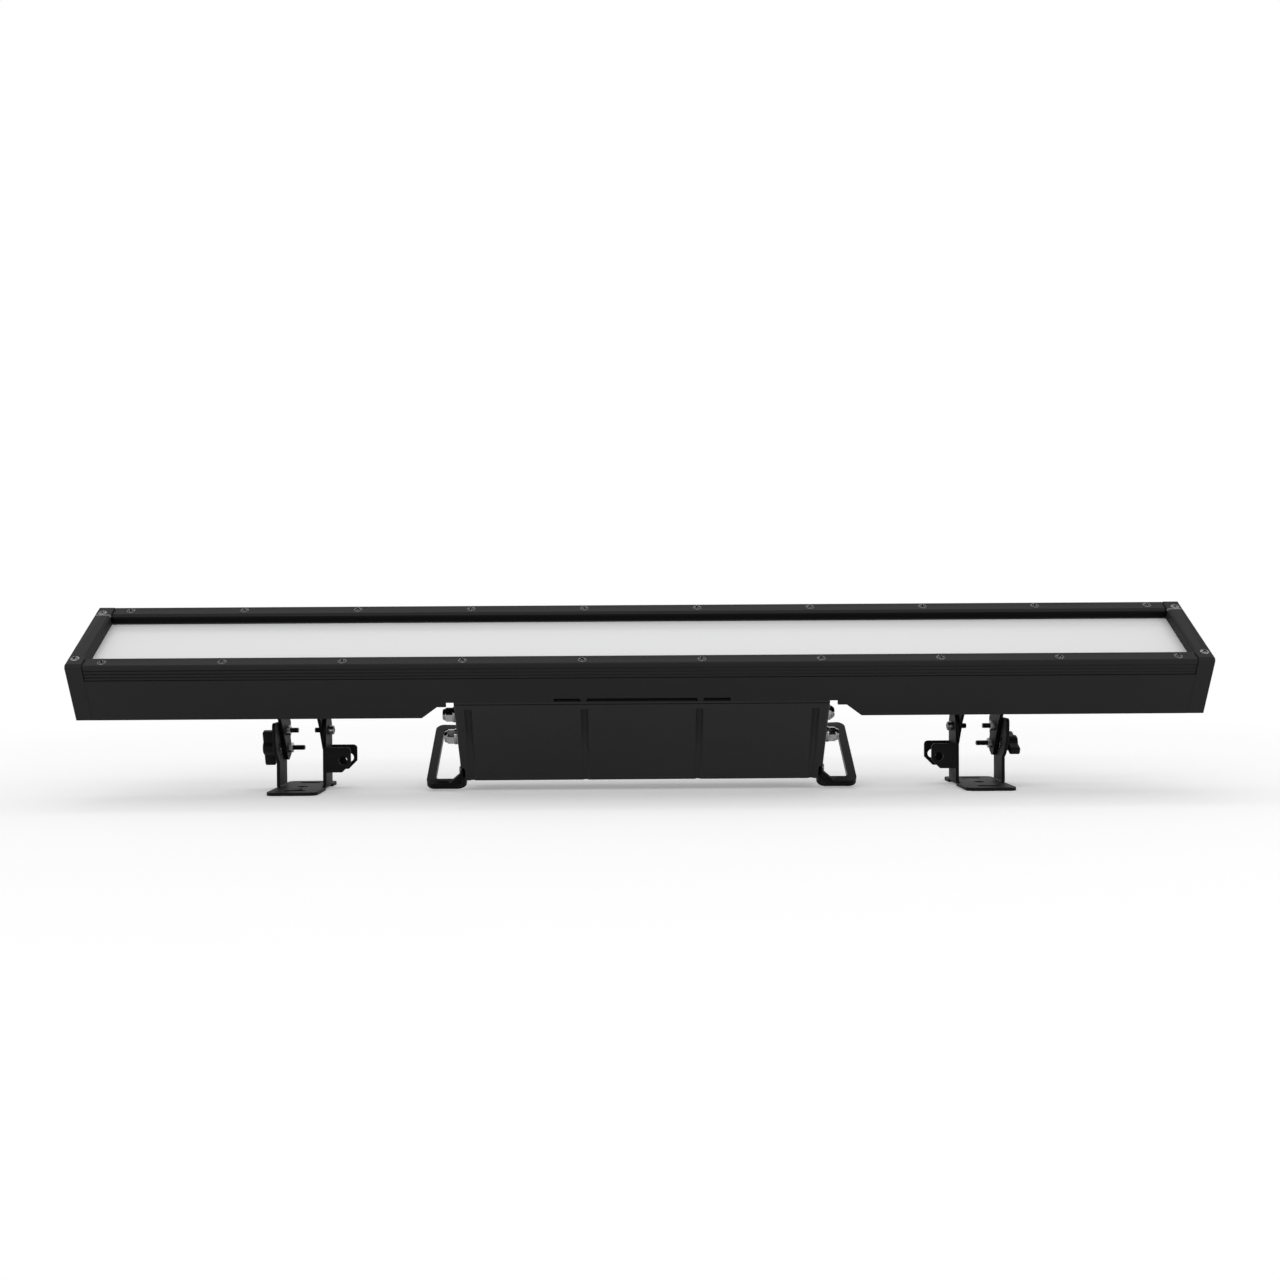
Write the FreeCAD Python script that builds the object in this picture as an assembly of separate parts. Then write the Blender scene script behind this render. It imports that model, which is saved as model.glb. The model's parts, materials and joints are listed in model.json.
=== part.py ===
import FreeCAD, Part
import math
import os
from FreeCAD import Placement, Rotation, Vector

os.makedirs("parts", exist_ok=True)

# Linear wall washer light. Millimetres.
# The lamp is drawn level in its own frame: x along the lamp, y from the front face back, z up,
# with the origin at the middle of the front top edge. It is then tilted about the bracket pivots.
# The brackets are drawn where they stand, on z = 0.

# Lamp body
lamp_length = 1000.0
lamp_depth = 104.5
lamp_height = 57.0
lamp_tilt = 30.0                 # degrees, top leaning towards the viewer

# Extruded body channel
skin = 2.5                       # front and rear walls
foot_lip = 6.0                   # inward lip along the bottom of each wall
foot_lip_thick = 2.0
deck_drop = 33.5                 # top face of the deck below the lamp's top
deck_thick = 3.5
port_depth = 9.0                 # screw port block, front to back
port_bottom = 27.0               # its underside below the lamp's top
fin_thick = 2.0
fin_height = 12.0
fin_pitch = 14.25
fin_count = 3
deck_port_width = 8.0            # the two screw ports under the deck
deck_port_height = 8.0
deck_port_inset = 21.0

# Bezel rails
rail_set_back = 0.6
rail_drop = 1.0
rail_width = 15.5
rail_height = 15.0
rail_wall = 2.6
rail_lip_wall = 2.2
rail_inner_bevel = 3.0
rail_edge_bevel = 0.8
rail_end_gap = 0.4
rail_joint_gap = 0.5
groove_count = 3
groove_pitch = 3.3
groove_first = 5.0
groove_width = 0.9
groove_depth = 0.5

# End caps
cap_width = 14.5
cap_skin = 3.0
cap_front_bevel = 2.4
cap_inner_bevel = 2.0
cap_end_bevel = 0.8

# Diffuser window and its seal
diffuser_sink = 10.5             # top of the window below the lamp's top
diffuser_thick = 3.0
diffuser_clear = 0.5             # window edge to the rail screws
diffuser_tuck = 5.5              # how far it runs under each end cap
seal_thick = 1.4
seal_width = 4.2

# Top screws
rail_screw_count = 10
rail_screw_span = 939.0          # first to last
rail_screw_inset = 3.3           # behind the front of the screw port block
top_screw_r = 2.0
top_screw_head_r = 3.7
top_screw_length = 20.0
screw_clear = 0.05
fastener_sides = 8                # small screws and their holes are eight-sided
turned_sides = 24                # small turned and moulded pieces
cap_screw_inset = 6.0            # from the lamp's end
cap_screw_line = 12.0            # from the front and rear faces
cap_face_screw_length = 30.0

# Light boards
board_count = 3
board_length = 318.0
board_depth = 56.0
board_thick = 1.6
board_gap = 3.0
led_rows = 2
led_columns = 7
led_size = 5.0
led_height = 1.2
led_row_pitch = 24.0
board_screw_r = 1.5
board_screw_head_r = 2.8
board_screw_head = 2.0
board_screw_inset = 6.0

# Bottom edge of the channel round the driver box
window_half = 173.0              # opening over the driver box
window_drop = 41.0
notch_top_half = 181.0
notch_bottom_half = 195.0
notch_drop = 45.5
slot_half = 78.0
slot_height = 3.6
slot_lug_width = 6.0
slot_lug_x = 51.6

# Driver box
driver_top_half = 166.5
driver_bottom_half = 164.0
driver_depth = 99.0
driver_draft = 0.8               # front and rear faces lean in by this much
driver_bottom = 126.0            # below the lamp's top
driver_corner = 2.5
driver_lid_thick = 2.0
driver_seal = 0.8
driver_seal_inset = 1.2
driver_seal_width = 3.2
driver_end_wall = 4.0
driver_front_wall = 6.0
driver_floor = 3.0
driver_flange = 5.0
channel_width = 7.3
channel_depth = 2.0
channel_x = [51.0, 154.0]
driver_boss = 9.0
driver_boss_x = [-138.0, 0.0, 138.0]
driver_screw_r = 2.0
driver_screw_head_r = 3.7
driver_screw_length = 14.0

# Joint between the driver box and the deck
mount_x = [-105.0, 105.0]
mount_line = 18.8                # from the front and rear faces of the lamp
mount_screw_r = 2.5
mount_screw_head_r = 4.25
mount_screw_head = 3.0
mount_screw_length = 15.0
spacer_r = 6.0
lid_pad_r = 7.0
lid_pad_thick = 5.0

# Electronics
circuit_half = 140.0
circuit_depth = 62.0
circuit_thick = 1.6
standoff_height = 5.0
standoff_r = 3.0
standoff_inset = 5.0
transformer_x = -44.0
transformer_core = [36.0, 34.0, 30.0]     # along, front to back, height
transformer_winding = [24.0, 44.0, 24.0]
capacitor_x = [-112.0, -88.0, 72.0]
capacitor_r = 9.0
capacitor_sides = 12
capacitor_height = 35.0
capacitor_line = 12.0            # in front of the board's middle
sink_x = 114.0
sink_length = 36.0
sink_depth = 48.0
sink_base = 4.0
sink_fin = 2.0
sink_fin_pitch = 8.0
sink_fin_count = 5
sink_height = 26.0
terminal_half = 12.0
terminal_depth = 12.0
terminal_height = 14.0
terminal_shelf = 8.0
lead_x = 30.0
lead_line = 18.0                 # from the rear face
lead_r = 2.5
grommet_r = 4.5
grommet_flange_r = 6.0
grommet_fit = 0.05
connector_half = 6.0
connector_rear = 5.0             # behind the lead
connector_height = 9.0
connector_socket_r = 4.5
connector_socket = 3.0

# Cable glands
gland_line = 18.0                # behind the front face
gland_drop = [65.0, 89.0]        # below the lamp's top
gland_base_r = 7.2
gland_base = 3.0
gland_thread_r = 4.0
gland_nut_across = 12.6
gland_nut_length = 6.0
gland_dome_length = 3.0
gland_dome_r = 4.8
gland_bore_r = 2.9
gland_inside = 9.0
gland_lock_across = 12.0
gland_lock = 3.0
gland_hole = 20.0                # deep enough to pass the box's end wall
vent_length = 3.6

# Lifting handles
handle_reach = 33.0              # beyond the bottom of the driver box's end
handle_front = 0.5
handle_rear = 97.0
handle_bar = 8.0
handle_drop = 129.0              # top of the handle below the lamp's top
handle_thick = 5.8
handle_corner = 8.0
handle_window_corner = 3.0
ear_thick = 3.8
ear_inward = 3.5                 # its back face inside the box's bottom end
ear_width = 13.0
ear_top = 112.0
ear_lean = 1.6
gusset_thick = 4.5
gusset_leg = 11.0
handle_screw_r = 2.0
handle_screw_head_r = 3.6
handle_screw_head = 2.2
handle_screw_length = 11.0
handle_screw_drop = 119.5

# Hangers: U-shaped plates under the deck that carry the pivots
bracket_x = 313.6
pivot_line = 52.25               # pivot behind the lamp's front face
pivot_drop = 104.0               # pivot below the lamp's top
hanger_thick = 3.0
hanger_root = 44.0               # ear width under the deck
hanger_top = 78.0                # top plate, front to back
hanger_width = 25.0              # ear width at the pivot
hanger_tip = 19.0                # ear width at its end
hanger_long = 30.0               # outer ear beyond the pivot
hanger_short = 19.0              # inner ear beyond the pivot
hanger_screw_r = 2.5
hanger_screw_head_r = 4.25
hanger_screw_head = 2.8
hanger_screw_y = 32.8

# Brackets
bracket_width = 45.6
bracket_thick = 3.0
bracket_bend = 2.0
plate_front = 60.0               # plate in front of the pivot
plate_rear = 40.0                # plate behind the pivot
plate_corner = 7.0
pivot_height = 54.5
arm_width = 30.0
head_r = 32.0
head_rise = 8.5
head_corner = 4.0
arm_top_r = 12.0
relief = 1.5
relief_depth = 4.0
plate_slot_width = 8.5
plate_slot_length = 20.0
plate_slot_pitch = 68.0
plate_hole_r = 5.0

# Clevis on each inner arm
clevis_low = 16.5                # above the floor
clevis_high = 39.5
clevis_reach = 26.0
clevis_gap = 30.0
clevis_cut = 8.0
clevis_round = 3.0
clevis_hole_r = 4.0
clevis_hole_height = 27.4
clevis_hole_out = 16.0

# Pivot bolts, clamp studs and knobs
arm_play = 0.3                   # hanger ear to bracket arm
pivot_r = 2.5
pivot_fit = 0.06
slot_r = 19.5                    # radius of the arc slot
slot_fit = 0.3
slot_low = 48.0                  # degrees of stud travel each way from straight down
slot_high = 48.0
nut_across = 8.0
nut_height = 4.0
nut_fit = 0.05
outer_tip = 7.5
stud_tip = 11.0
inner_tip = 7.0
pivot_head_r = 4.25
pivot_head = 5.0
outer_head = 2.75
socket_across = 4.0
socket_depth = 2.4
washer_r = 5.5
washer = 1.0
knob_length = 34.0
knob_hub_r = 7.5
knob_base = 3.0
knob_thick = 13.5
knob_wing = 7.0
knob_turn_left = 20.0            # degrees from upright
knob_turn_right = 62.0


# ---- Helpers ----

def block(x0, x1, y0, y1, z0, z1):
    corner = Vector(min(x0, x1), min(y0, y1), min(z0, z1))
    return Part.makeBox(abs(x1 - x0), abs(y1 - y0), abs(z1 - z0), corner)


def rod(start, direction, radius, length):
    return Part.makeCylinder(radius, length, start, direction)


def face_of(points):
    return Part.Face(Part.makePolygon(points + [points[0]]))


def along_x(outline, x0, x1):
    """A solid from a list of (y, z) points, from x0 to x1."""
    return face_of([Vector(x0, y, z) for y, z in outline]).extrude(Vector(x1 - x0, 0, 0))


def along_y(outline, y0, y1):
    """A solid from a list of (x, z) points, from y0 to y1."""
    return face_of([Vector(x, y0, z) for x, z in outline]).extrude(Vector(0, y1 - y0, 0))


def ring_points(radius, z, sides):
    points = []
    for i in range(sides):
        angle = math.radians(360 / sides * (i + 0.5))
        points.append(Vector(radius * math.cos(angle), radius * math.sin(angle), z))
    return points


def taper(start, direction, radius, end_radius, length, sides):
    """A many-sided rod with its corners on the radius, which may narrow towards its end."""
    low = ring_points(radius, 0, sides)
    high = ring_points(end_radius, length, sides)
    faces = [face_of(low[::-1]), face_of(high)]
    for i in range(sides):
        faces.append(face_of([low[i - 1], low[i], high[i], high[i - 1]]))
    solid = Part.Solid(Part.Shell(faces))
    solid.Placement = Placement(start, Rotation(Vector(0, 0, 1), direction))
    return solid


def peg(start, direction, radius, length):
    """A small fastener's shank or its hole, with few faces."""
    return taper(start, direction, radius, radius, length, fastener_sides)


def hexagon(start, direction, across, height):
    """A hexagonal prism that starts at start and runs along direction."""
    radius = across / math.sqrt(3)
    return taper(start, direction, radius, radius, height, 6)


def flat_head_screw(centre, direction, radius, head_r, length):
    """A countersunk screw whose flat head is flush at centre and points along direction."""
    head = taper(centre, direction, head_r, radius, head_r - radius, fastener_sides)
    return head.fuse(peg(centre, direction, radius, length)).removeSplitter()


def flat_head_hole(centre, direction, radius, head_r, length):
    return flat_head_screw(centre, direction, radius + screw_clear, head_r + screw_clear, length)


def cap_screw(seat, direction, radius, head_r, head, length):
    """A cylinder-head screw: the head stands on seat, the shank runs along direction."""
    shank = peg(seat, direction, radius, length)
    return shank.fuse(peg(seat, direction * -1, head_r, head)).removeSplitter()


def pivot_bolt(seat, direction, head, length):
    """A bolt with a true round shank, for a part that turns on it."""
    shank = rod(seat, direction, pivot_r, length)
    return shank.fuse(rod(seat, direction * -1, pivot_head_r, head)).removeSplitter()


def union(shapes):
    result = shapes[0]
    if len(shapes) > 1:
        result = result.multiFuse(shapes[1:])
    return result.removeSplitter()


def group(shapes):
    return Part.makeCompound(shapes)


nodes = {}
tilt_centre = Vector(0, pivot_line, -pivot_drop)
plate_middle = (plate_front - plate_rear) / 2
lamp_place = Placement(Vector(0, plate_middle, pivot_height) - tilt_centre,
                       Rotation(Vector(1, 0, 0), lamp_tilt), tilt_centre)


def add_lamp_piece(name, shape):
    placed = shape.copy()
    placed.transformShape(lamp_place.toMatrix(), True)
    nodes[name] = placed


def add_piece(name, shape):
    nodes[name] = shape


def mirror_depth(shape):
    return shape.mirror(Vector(0, lamp_depth / 2, 0), Vector(0, 1, 0))


def mirror_sides(shape):
    return shape.mirror(Vector(0, 0, 0), Vector(1, 0, 0))


# ---- Shared places in the lamp frame ----

half_length = lamp_length / 2
cap_inner = half_length - cap_width
rail_top = -rail_drop
rail_bottom = rail_top - rail_height
rail_inner_face = rail_set_back + rail_width
diffuser_top = -diffuser_sink
diffuser_bottom = diffuser_top - diffuser_thick
lip_bottom = diffuser_top + seal_thick
port_front = rail_set_back + rail_wall + 0.3
port_back = port_front + port_depth
screw_line = port_front + rail_screw_inset
diffuser_edge = screw_line + top_screw_r + diffuser_clear
deck_top = -deck_drop
deck_bottom = deck_top - deck_thick
lid_top = -window_drop
lid_bottom = lid_top - driver_lid_thick
case_top = lid_bottom - driver_seal
case_bottom = -driver_bottom
rail_screw_pitch = rail_screw_span / (rail_screw_count - 1)
rail_screw_x = [-rail_screw_span / 2 + rail_screw_pitch * i for i in range(rail_screw_count)]
cap_screw_x = half_length - cap_screw_inset
down = Vector(0, 0, -1)
up = Vector(0, 0, 1)
left = Vector(-1, 0, 0)
right = Vector(1, 0, 0)


# ---- Bezel rails ----

def make_rail():
    inner_top = rail_inner_face - rail_inner_bevel
    outline = [
        (rail_set_back, rail_bottom),
        (rail_set_back, rail_top - rail_edge_bevel),
        (rail_set_back + rail_edge_bevel, rail_top),
        (inner_top, rail_top),
        (rail_inner_face, rail_top - rail_inner_bevel),
        (rail_inner_face, lip_bottom),
        (rail_inner_face - rail_lip_wall, lip_bottom),
        (rail_inner_face - rail_lip_wall, rail_top - rail_inner_bevel - rail_wall / 2),
        (inner_top - rail_wall / 2, rail_top - rail_wall),
        (rail_set_back + rail_wall, rail_top - rail_wall),
        (rail_set_back + rail_wall, rail_bottom),
    ]
    rail_end = cap_inner - rail_end_gap
    rail = along_x(outline, -rail_end, rail_end)
    cuts = []
    for i in range(groove_count):
        top = rail_top - groove_first - groove_pitch * i
        cuts.append(block(-rail_end, rail_end, rail_set_back, rail_set_back + groove_depth,
                          top - groove_width, top))
    for x in rail_screw_x:
        cuts.append(flat_head_hole(Vector(x, screw_line, rail_top), down, top_screw_r,
                                   top_screw_head_r, top_screw_length))
    return rail.cut(cuts)


front_rail = make_rail()
add_lamp_piece("front_rail", front_rail)
add_lamp_piece("rear_rail", mirror_depth(front_rail))

rail_screws = []
for x in rail_screw_x:
    rail_screws.append(flat_head_screw(Vector(x, screw_line, rail_top), down, top_screw_r,
                                       top_screw_head_r, top_screw_length))
add_lamp_piece("front_rail_screws", group(rail_screws))
add_lamp_piece("rear_rail_screws", group([mirror_depth(screw) for screw in rail_screws]))


# ---- Extruded body channel ----

def make_channel():
    side = union([
        block(-cap_inner, cap_inner, 0, skin, -lamp_height, rail_bottom - rail_joint_gap),
        block(-cap_inner, cap_inner, 0, foot_lip, -lamp_height, -lamp_height + foot_lip_thick),
        block(-cap_inner, cap_inner, 0, port_back, -port_bottom, rail_bottom - rail_joint_gap),
        block(-tongue_end, tongue_end, port_front, port_back, -port_bottom, diffuser_bottom),
    ])
    pieces = [side, mirror_depth(side)]
    pieces.append(block(-cap_inner, cap_inner, 0, lamp_depth, deck_bottom, deck_top))
    middle = lamp_depth / 2
    for i in range(fin_count):
        y = middle + fin_pitch * (i - (fin_count - 1) / 2)
        pieces.append(block(-cap_inner, cap_inner, y - fin_thick / 2, y + fin_thick / 2,
                            deck_bottom - fin_height, deck_bottom))
    for y in (deck_port_inset, lamp_depth - deck_port_inset):
        pieces.append(block(-cap_inner, cap_inner, y - deck_port_width / 2, y + deck_port_width / 2,
                            deck_bottom - deck_port_height, deck_bottom))
    channel = union(pieces)

    # The bottom edge is cut away over the driver box, front and rear.
    opening = [
        (-window_half, lid_top),
        (-window_half, -notch_drop),
        (-notch_top_half, -notch_drop),
        (-notch_bottom_half, -lamp_height),
        (-notch_bottom_half, -lamp_height - 1),
        (notch_bottom_half, -lamp_height - 1),
        (notch_bottom_half, -lamp_height),
        (notch_top_half, -notch_drop),
        (window_half, -notch_drop),
        (window_half, lid_top),
    ]
    cuts = [along_y(opening, -1, lamp_depth + 1)]
    # Fins and deck ports stop short of the driver box and of the hangers.
    cuts.append(block(-notch_bottom_half, notch_bottom_half, skin, lamp_depth - skin,
                      deck_bottom - fin_height, deck_bottom))
    for side_sign in (-1, 1):
        middle_x = side_sign * bracket_x
        cuts.append(block(middle_x - hanger_pocket, middle_x + hanger_pocket,
                          foot_lip, lamp_depth - foot_lip,
                          deck_bottom - fin_height, deck_bottom))
    # The slot in the front wall above the lid, with its two lugs.
    slot = block(-slot_half, slot_half, -1, skin, lid_top, lid_top + slot_height)
    for x in (-slot_lug_x, slot_lug_x):
        slot = slot.cut(block(x - slot_lug_width / 2, x + slot_lug_width / 2, -1, skin,
                              lid_top + slot_lug_width / 2, lid_top + slot_height))
        slot = slot.cut(rod(Vector(x, -1, lid_top + slot_lug_width / 2), Vector(0, 1, 0),
                            slot_lug_width / 2, skin + 1))
    cuts.append(slot)

    # Screw holes: rails and end caps from above, end caps from the ends.
    for y in (screw_line, lamp_depth - screw_line):
        for x in rail_screw_x:
            cuts.append(peg(Vector(x, y, diffuser_bottom), down, top_screw_r + screw_clear,
                            port_bottom - diffuser_sink))
    for side_sign in (-1, 1):
        for y in (cap_screw_line, lamp_depth - cap_screw_line):
            cuts.append(peg(Vector(side_sign * cap_screw_x, y, diffuser_bottom), down,
                            top_screw_r + screw_clear, port_bottom - diffuser_sink))
        for y in (deck_port_inset, lamp_depth - deck_port_inset):
            cuts.append(peg(Vector(side_sign * half_length, y, deck_port_z),
                            Vector(-side_sign, 0, 0), top_screw_r + screw_clear,
                            cap_face_screw_length))
    # Holes through the deck: driver box, lead, hangers and light boards.
    through = deck_thick + 0.2
    for x in mount_x:
        for y in (mount_line, lamp_depth - mount_line):
            cuts.append(peg(Vector(x, y, deck_top + 0.1), down, mount_screw_r + screw_clear, through))
    cuts.append(peg(Vector(lead_x, lead_y, deck_top + 0.1), down, grommet_r, through))
    for x, y in hanger_screw_places():
        cuts.append(peg(Vector(x, y, deck_top + 0.1), down, hanger_screw_r + screw_clear, through))
    for x, y in board_screw_places():
        cuts.append(peg(Vector(x, y, deck_top + 0.1), down, board_screw_r + screw_clear, through))
    return channel.cut(cuts)


tongue_end = half_length - cap_skin - 0.5
hanger_pocket = bracket_width / 2 + 1
deck_port_z = deck_bottom - deck_port_height / 2
lead_y = lamp_depth - lead_line
board_front = (lamp_depth - board_depth) / 2
board_pitch = board_length + board_gap
board_x = [board_pitch * (i - (board_count - 1) / 2) for i in range(board_count)]


def hanger_screw_places():
    places = []
    for side_sign in (-1, 1):
        for dy in (-hanger_screw_y, hanger_screw_y):
            places.append((side_sign * bracket_x, pivot_line + dy))
    return places


def board_screw_places():
    places = []
    for middle in board_x:
        for end in (-1, 1):
            places.append((middle + end * (board_length / 2 - board_screw_inset),
                           lamp_depth / 2 + end * (board_depth / 2 - board_screw_inset)))
    return places


add_lamp_piece("body_channel", make_channel())


# ---- End caps ----

def make_end_cap():
    cap = block(cap_inner, half_length, 0, lamp_depth, -lamp_height, 0)
    far = lamp_depth
    bevels = [
        along_x([(0, 0), (cap_front_bevel, 0), (0, -cap_front_bevel)], cap_inner, half_length),
        along_x([(far, 0), (far - cap_front_bevel, 0), (far, -cap_front_bevel)], cap_inner, half_length),
        along_y([(cap_inner, 0), (cap_inner + cap_inner_bevel, 0), (cap_inner, -cap_inner_bevel)],
                rail_inner_face - 1, far - rail_inner_face + 1),
        along_y([(half_length, 0), (half_length - cap_end_bevel, 0), (half_length, -cap_end_bevel)],
                0, far),
    ]
    cap = cap.cut(bevels)
    cap = cap.cut(block(cap_inner, half_length - cap_skin, cap_skin, far - cap_skin,
                        -lamp_height + cap_skin, lip_bottom))
    holes = []
    for y in (cap_screw_line, far - cap_screw_line):
        holes.append(flat_head_hole(Vector(cap_screw_x, y, 0), down, top_screw_r,
                                    top_screw_head_r, top_screw_length))
    for y in (deck_port_inset, far - deck_port_inset):
        holes.append(flat_head_hole(Vector(half_length, y, deck_port_z), left, top_screw_r,
                                    top_screw_head_r, cap_face_screw_length))
    return cap.cut(holes)


cap_top_screws = []
cap_face_screws = []
for y in (cap_screw_line, lamp_depth - cap_screw_line):
    cap_top_screws.append(flat_head_screw(Vector(cap_screw_x, y, 0), down, top_screw_r,
                                          top_screw_head_r, top_screw_length))
for y in (deck_port_inset, lamp_depth - deck_port_inset):
    cap_face_screws.append(flat_head_screw(Vector(half_length, y, deck_port_z), left, top_screw_r,
                                           top_screw_head_r, cap_face_screw_length))
right_cap = make_end_cap()
add_lamp_piece("end_cap_right", right_cap)
add_lamp_piece("end_cap_left", mirror_sides(right_cap))
add_lamp_piece("end_cap_top_screws", group(cap_top_screws + [mirror_sides(s) for s in cap_top_screws]))
add_lamp_piece("end_cap_face_screws", group(cap_face_screws + [mirror_sides(s) for s in cap_face_screws]))


# ---- Window, seal and light boards ----

diffuser_end = cap_inner + diffuser_tuck
add_lamp_piece("diffuser", block(-diffuser_end, diffuser_end, diffuser_edge,
                                 lamp_depth - diffuser_edge, diffuser_bottom, diffuser_top))

seal_end = cap_inner + seal_width + 0.5
seal_front = rail_inner_face - seal_width - 0.3
seal_outer = block(-seal_end, seal_end, seal_front, lamp_depth - seal_front, diffuser_top, lip_bottom)
seal_inner = block(-seal_end + seal_width, seal_end - seal_width, seal_front + seal_width,
                   lamp_depth - seal_front - seal_width, diffuser_top, lip_bottom)
add_lamp_piece("diffuser_seal", seal_outer.cut(seal_inner))

boards = []
leds = []
board_top = deck_top + board_thick
for middle in board_x:
    boards.append(block(middle - board_length / 2, middle + board_length / 2, board_front,
                        board_front + board_depth, deck_top, board_top))
    for row in range(led_rows):
        y = lamp_depth / 2 + led_row_pitch * (row - (led_rows - 1) / 2)
        for column in range(led_columns):
            x = middle + board_length / led_columns * (column - (led_columns - 1) / 2)
            leds.append(block(x - led_size / 2, x + led_size / 2, y - led_size / 2, y + led_size / 2,
                              board_top, board_top + led_height))
board_screws = []
for x, y in board_screw_places():
    board_screws.append(cap_screw(Vector(x, y, board_top), down, board_screw_r, board_screw_head_r,
                                  board_screw_head, board_thick + deck_thick))
board_holes = [peg(Vector(x, y, board_top), down, board_screw_r + screw_clear, board_thick)
               for x, y in board_screw_places()]
add_lamp_piece("light_boards", group(boards).cut(board_holes))
add_lamp_piece("leds", group(leds))
add_lamp_piece("light_board_screws", group(board_screws))


# ---- Driver box ----

def rounded_rectangle(half, front, rear, z, corner):
    """A closed wire in the plane at height z."""
    slab = block(-half, half, front, rear, z, z + 1)
    edges = [edge for edge in slab.Edges if abs(edge.Vertexes[0].Z - edge.Vertexes[1].Z) > 0.5]
    slab = slab.makeFillet(corner, edges)
    for face in slab.Faces:
        if abs(face.CenterOfMass.z - z) < 1e-6:
            return face.OuterWire
    return None


def driver_shell():
    top = rounded_rectangle(driver_top_half, 0, driver_depth, case_top, driver_corner)
    bottom = rounded_rectangle(driver_bottom_half, driver_draft, driver_depth - driver_draft,
                               case_bottom, driver_corner)
    return Part.makeLoft([bottom, top], True, True)


def lid_blank():
    lid = rounded_rectangle(driver_top_half, 0, driver_depth, lid_bottom, driver_corner)
    return Part.Face(lid).extrude(Vector(0, 0, driver_lid_thick))


cavity_front = driver_front_wall
cavity_rear = driver_depth - driver_front_wall
cavity_half = driver_bottom_half - driver_end_wall
cavity_floor = case_bottom + driver_floor
lid_screw_places = []
for x in driver_boss_x:
    for y in (cavity_front + driver_boss / 2, cavity_rear - driver_boss / 2):
        lid_screw_places.append((x, y))


def ear_outline(thick):
    """The handle's ear from the end: (x, z) points, on the right-hand end of the box."""
    back = driver_bottom_half - ear_inward
    return [
        (back, -handle_drop - handle_thick),
        (back, -ear_top - ear_lean),
        (back + ear_lean, -ear_top),
        (back + thick, -ear_top),
        (back + thick, -handle_drop - handle_thick),
    ]


ear_places = [(handle_front, handle_front + ear_width), (handle_rear - ear_width, handle_rear)]


def make_driver_case():
    case = driver_shell()
    hollow = block(-cavity_half, cavity_half, cavity_front, cavity_rear, cavity_floor, case_top)
    bosses = []
    for x, y in lid_screw_places:
        bosses.append(block(x - driver_boss / 2, x + driver_boss / 2, y - driver_boss / 2,
                            y + driver_boss / 2, cavity_floor, case_top))
    case = case.cut(hollow.cut(bosses))
    cuts = []
    # Shallow half-round channels run down the front and rear from below the top flange.
    channel_r = (channel_width ** 2 / 4 + channel_depth ** 2) / (2 * channel_depth)
    for x in channel_x:
        for x_sign in (-1, 1):
            for y in (channel_depth - channel_r, driver_depth - channel_depth + channel_r):
                cuts.append(rod(Vector(x_sign * x, y, case_top - driver_flange), down, channel_r,
                                driver_bottom))
    for x, y in lid_screw_places:
        cuts.append(peg(Vector(x, y, case_top), down, driver_screw_r + screw_clear,
                        driver_screw_length))
    for x_sign in (-1, 1):
        for drop in gland_drop:
            cuts.append(peg(Vector(x_sign * driver_top_half, gland_line, -drop),
                            Vector(-x_sign, 0, 0), gland_thread_r + screw_clear, gland_hole))
        for front, rear in ear_places:
            seat = along_y([(x_sign * x, z) for x, z in ear_outline(2 * ear_thick)], front, rear)
            cuts.append(seat)
            cuts.append(peg(handle_screw_point(x_sign, front, rear), Vector(-x_sign, 0, 0),
                            handle_screw_r + screw_clear, handle_screw_length))
    return case.cut(cuts)


def handle_screw_point(x_sign, front, rear):
    """Where the handle's screw head stands on the ear, clear of the gusset."""
    outer = driver_bottom_half - ear_inward + ear_thick
    if front < driver_depth / 2:
        y = rear - (ear_width - gusset_thick) / 2
    else:
        y = front + (ear_width - gusset_thick) / 2
    return Vector(x_sign * outer, y, -handle_screw_drop)


driver_case = make_driver_case()
add_lamp_piece("driver_case", driver_case)

seal_ring_wide = driver_top_half - driver_seal_inset
seal_ring = block(-seal_ring_wide, seal_ring_wide, driver_seal_inset, driver_depth - driver_seal_inset,
                  case_top, lid_bottom)
seal_ring = seal_ring.cut(block(-seal_ring_wide + driver_seal_width, seal_ring_wide - driver_seal_width,
                                driver_seal_inset + driver_seal_width,
                                driver_depth - driver_seal_inset - driver_seal_width,
                                case_top, lid_bottom))
add_lamp_piece("driver_seal", seal_ring)

mount_places = [(x, y) for x in mount_x for y in (mount_line, lamp_depth - mount_line)]
lid = lid_blank()
lid_pads = [peg(Vector(x, y, lid_bottom + 0.5), down, lid_pad_r, lid_pad_thick + 0.5)
            for x, y in mount_places]
lid = union([lid] + lid_pads)
lid_cuts = []
for x, y in lid_screw_places:
    lid_cuts.append(flat_head_hole(Vector(x, y, lid_top), down, driver_screw_r, driver_screw_head_r,
                                   driver_screw_length))
for x, y in mount_places:
    lid_cuts.append(peg(Vector(x, y, lid_top), down, mount_screw_r + screw_clear,
                        driver_lid_thick + lid_pad_thick))
lid_cuts.append(peg(Vector(lead_x, lead_y, lid_top), down, grommet_r, driver_lid_thick))
add_lamp_piece("driver_lid", lid.cut(lid_cuts))

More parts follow.
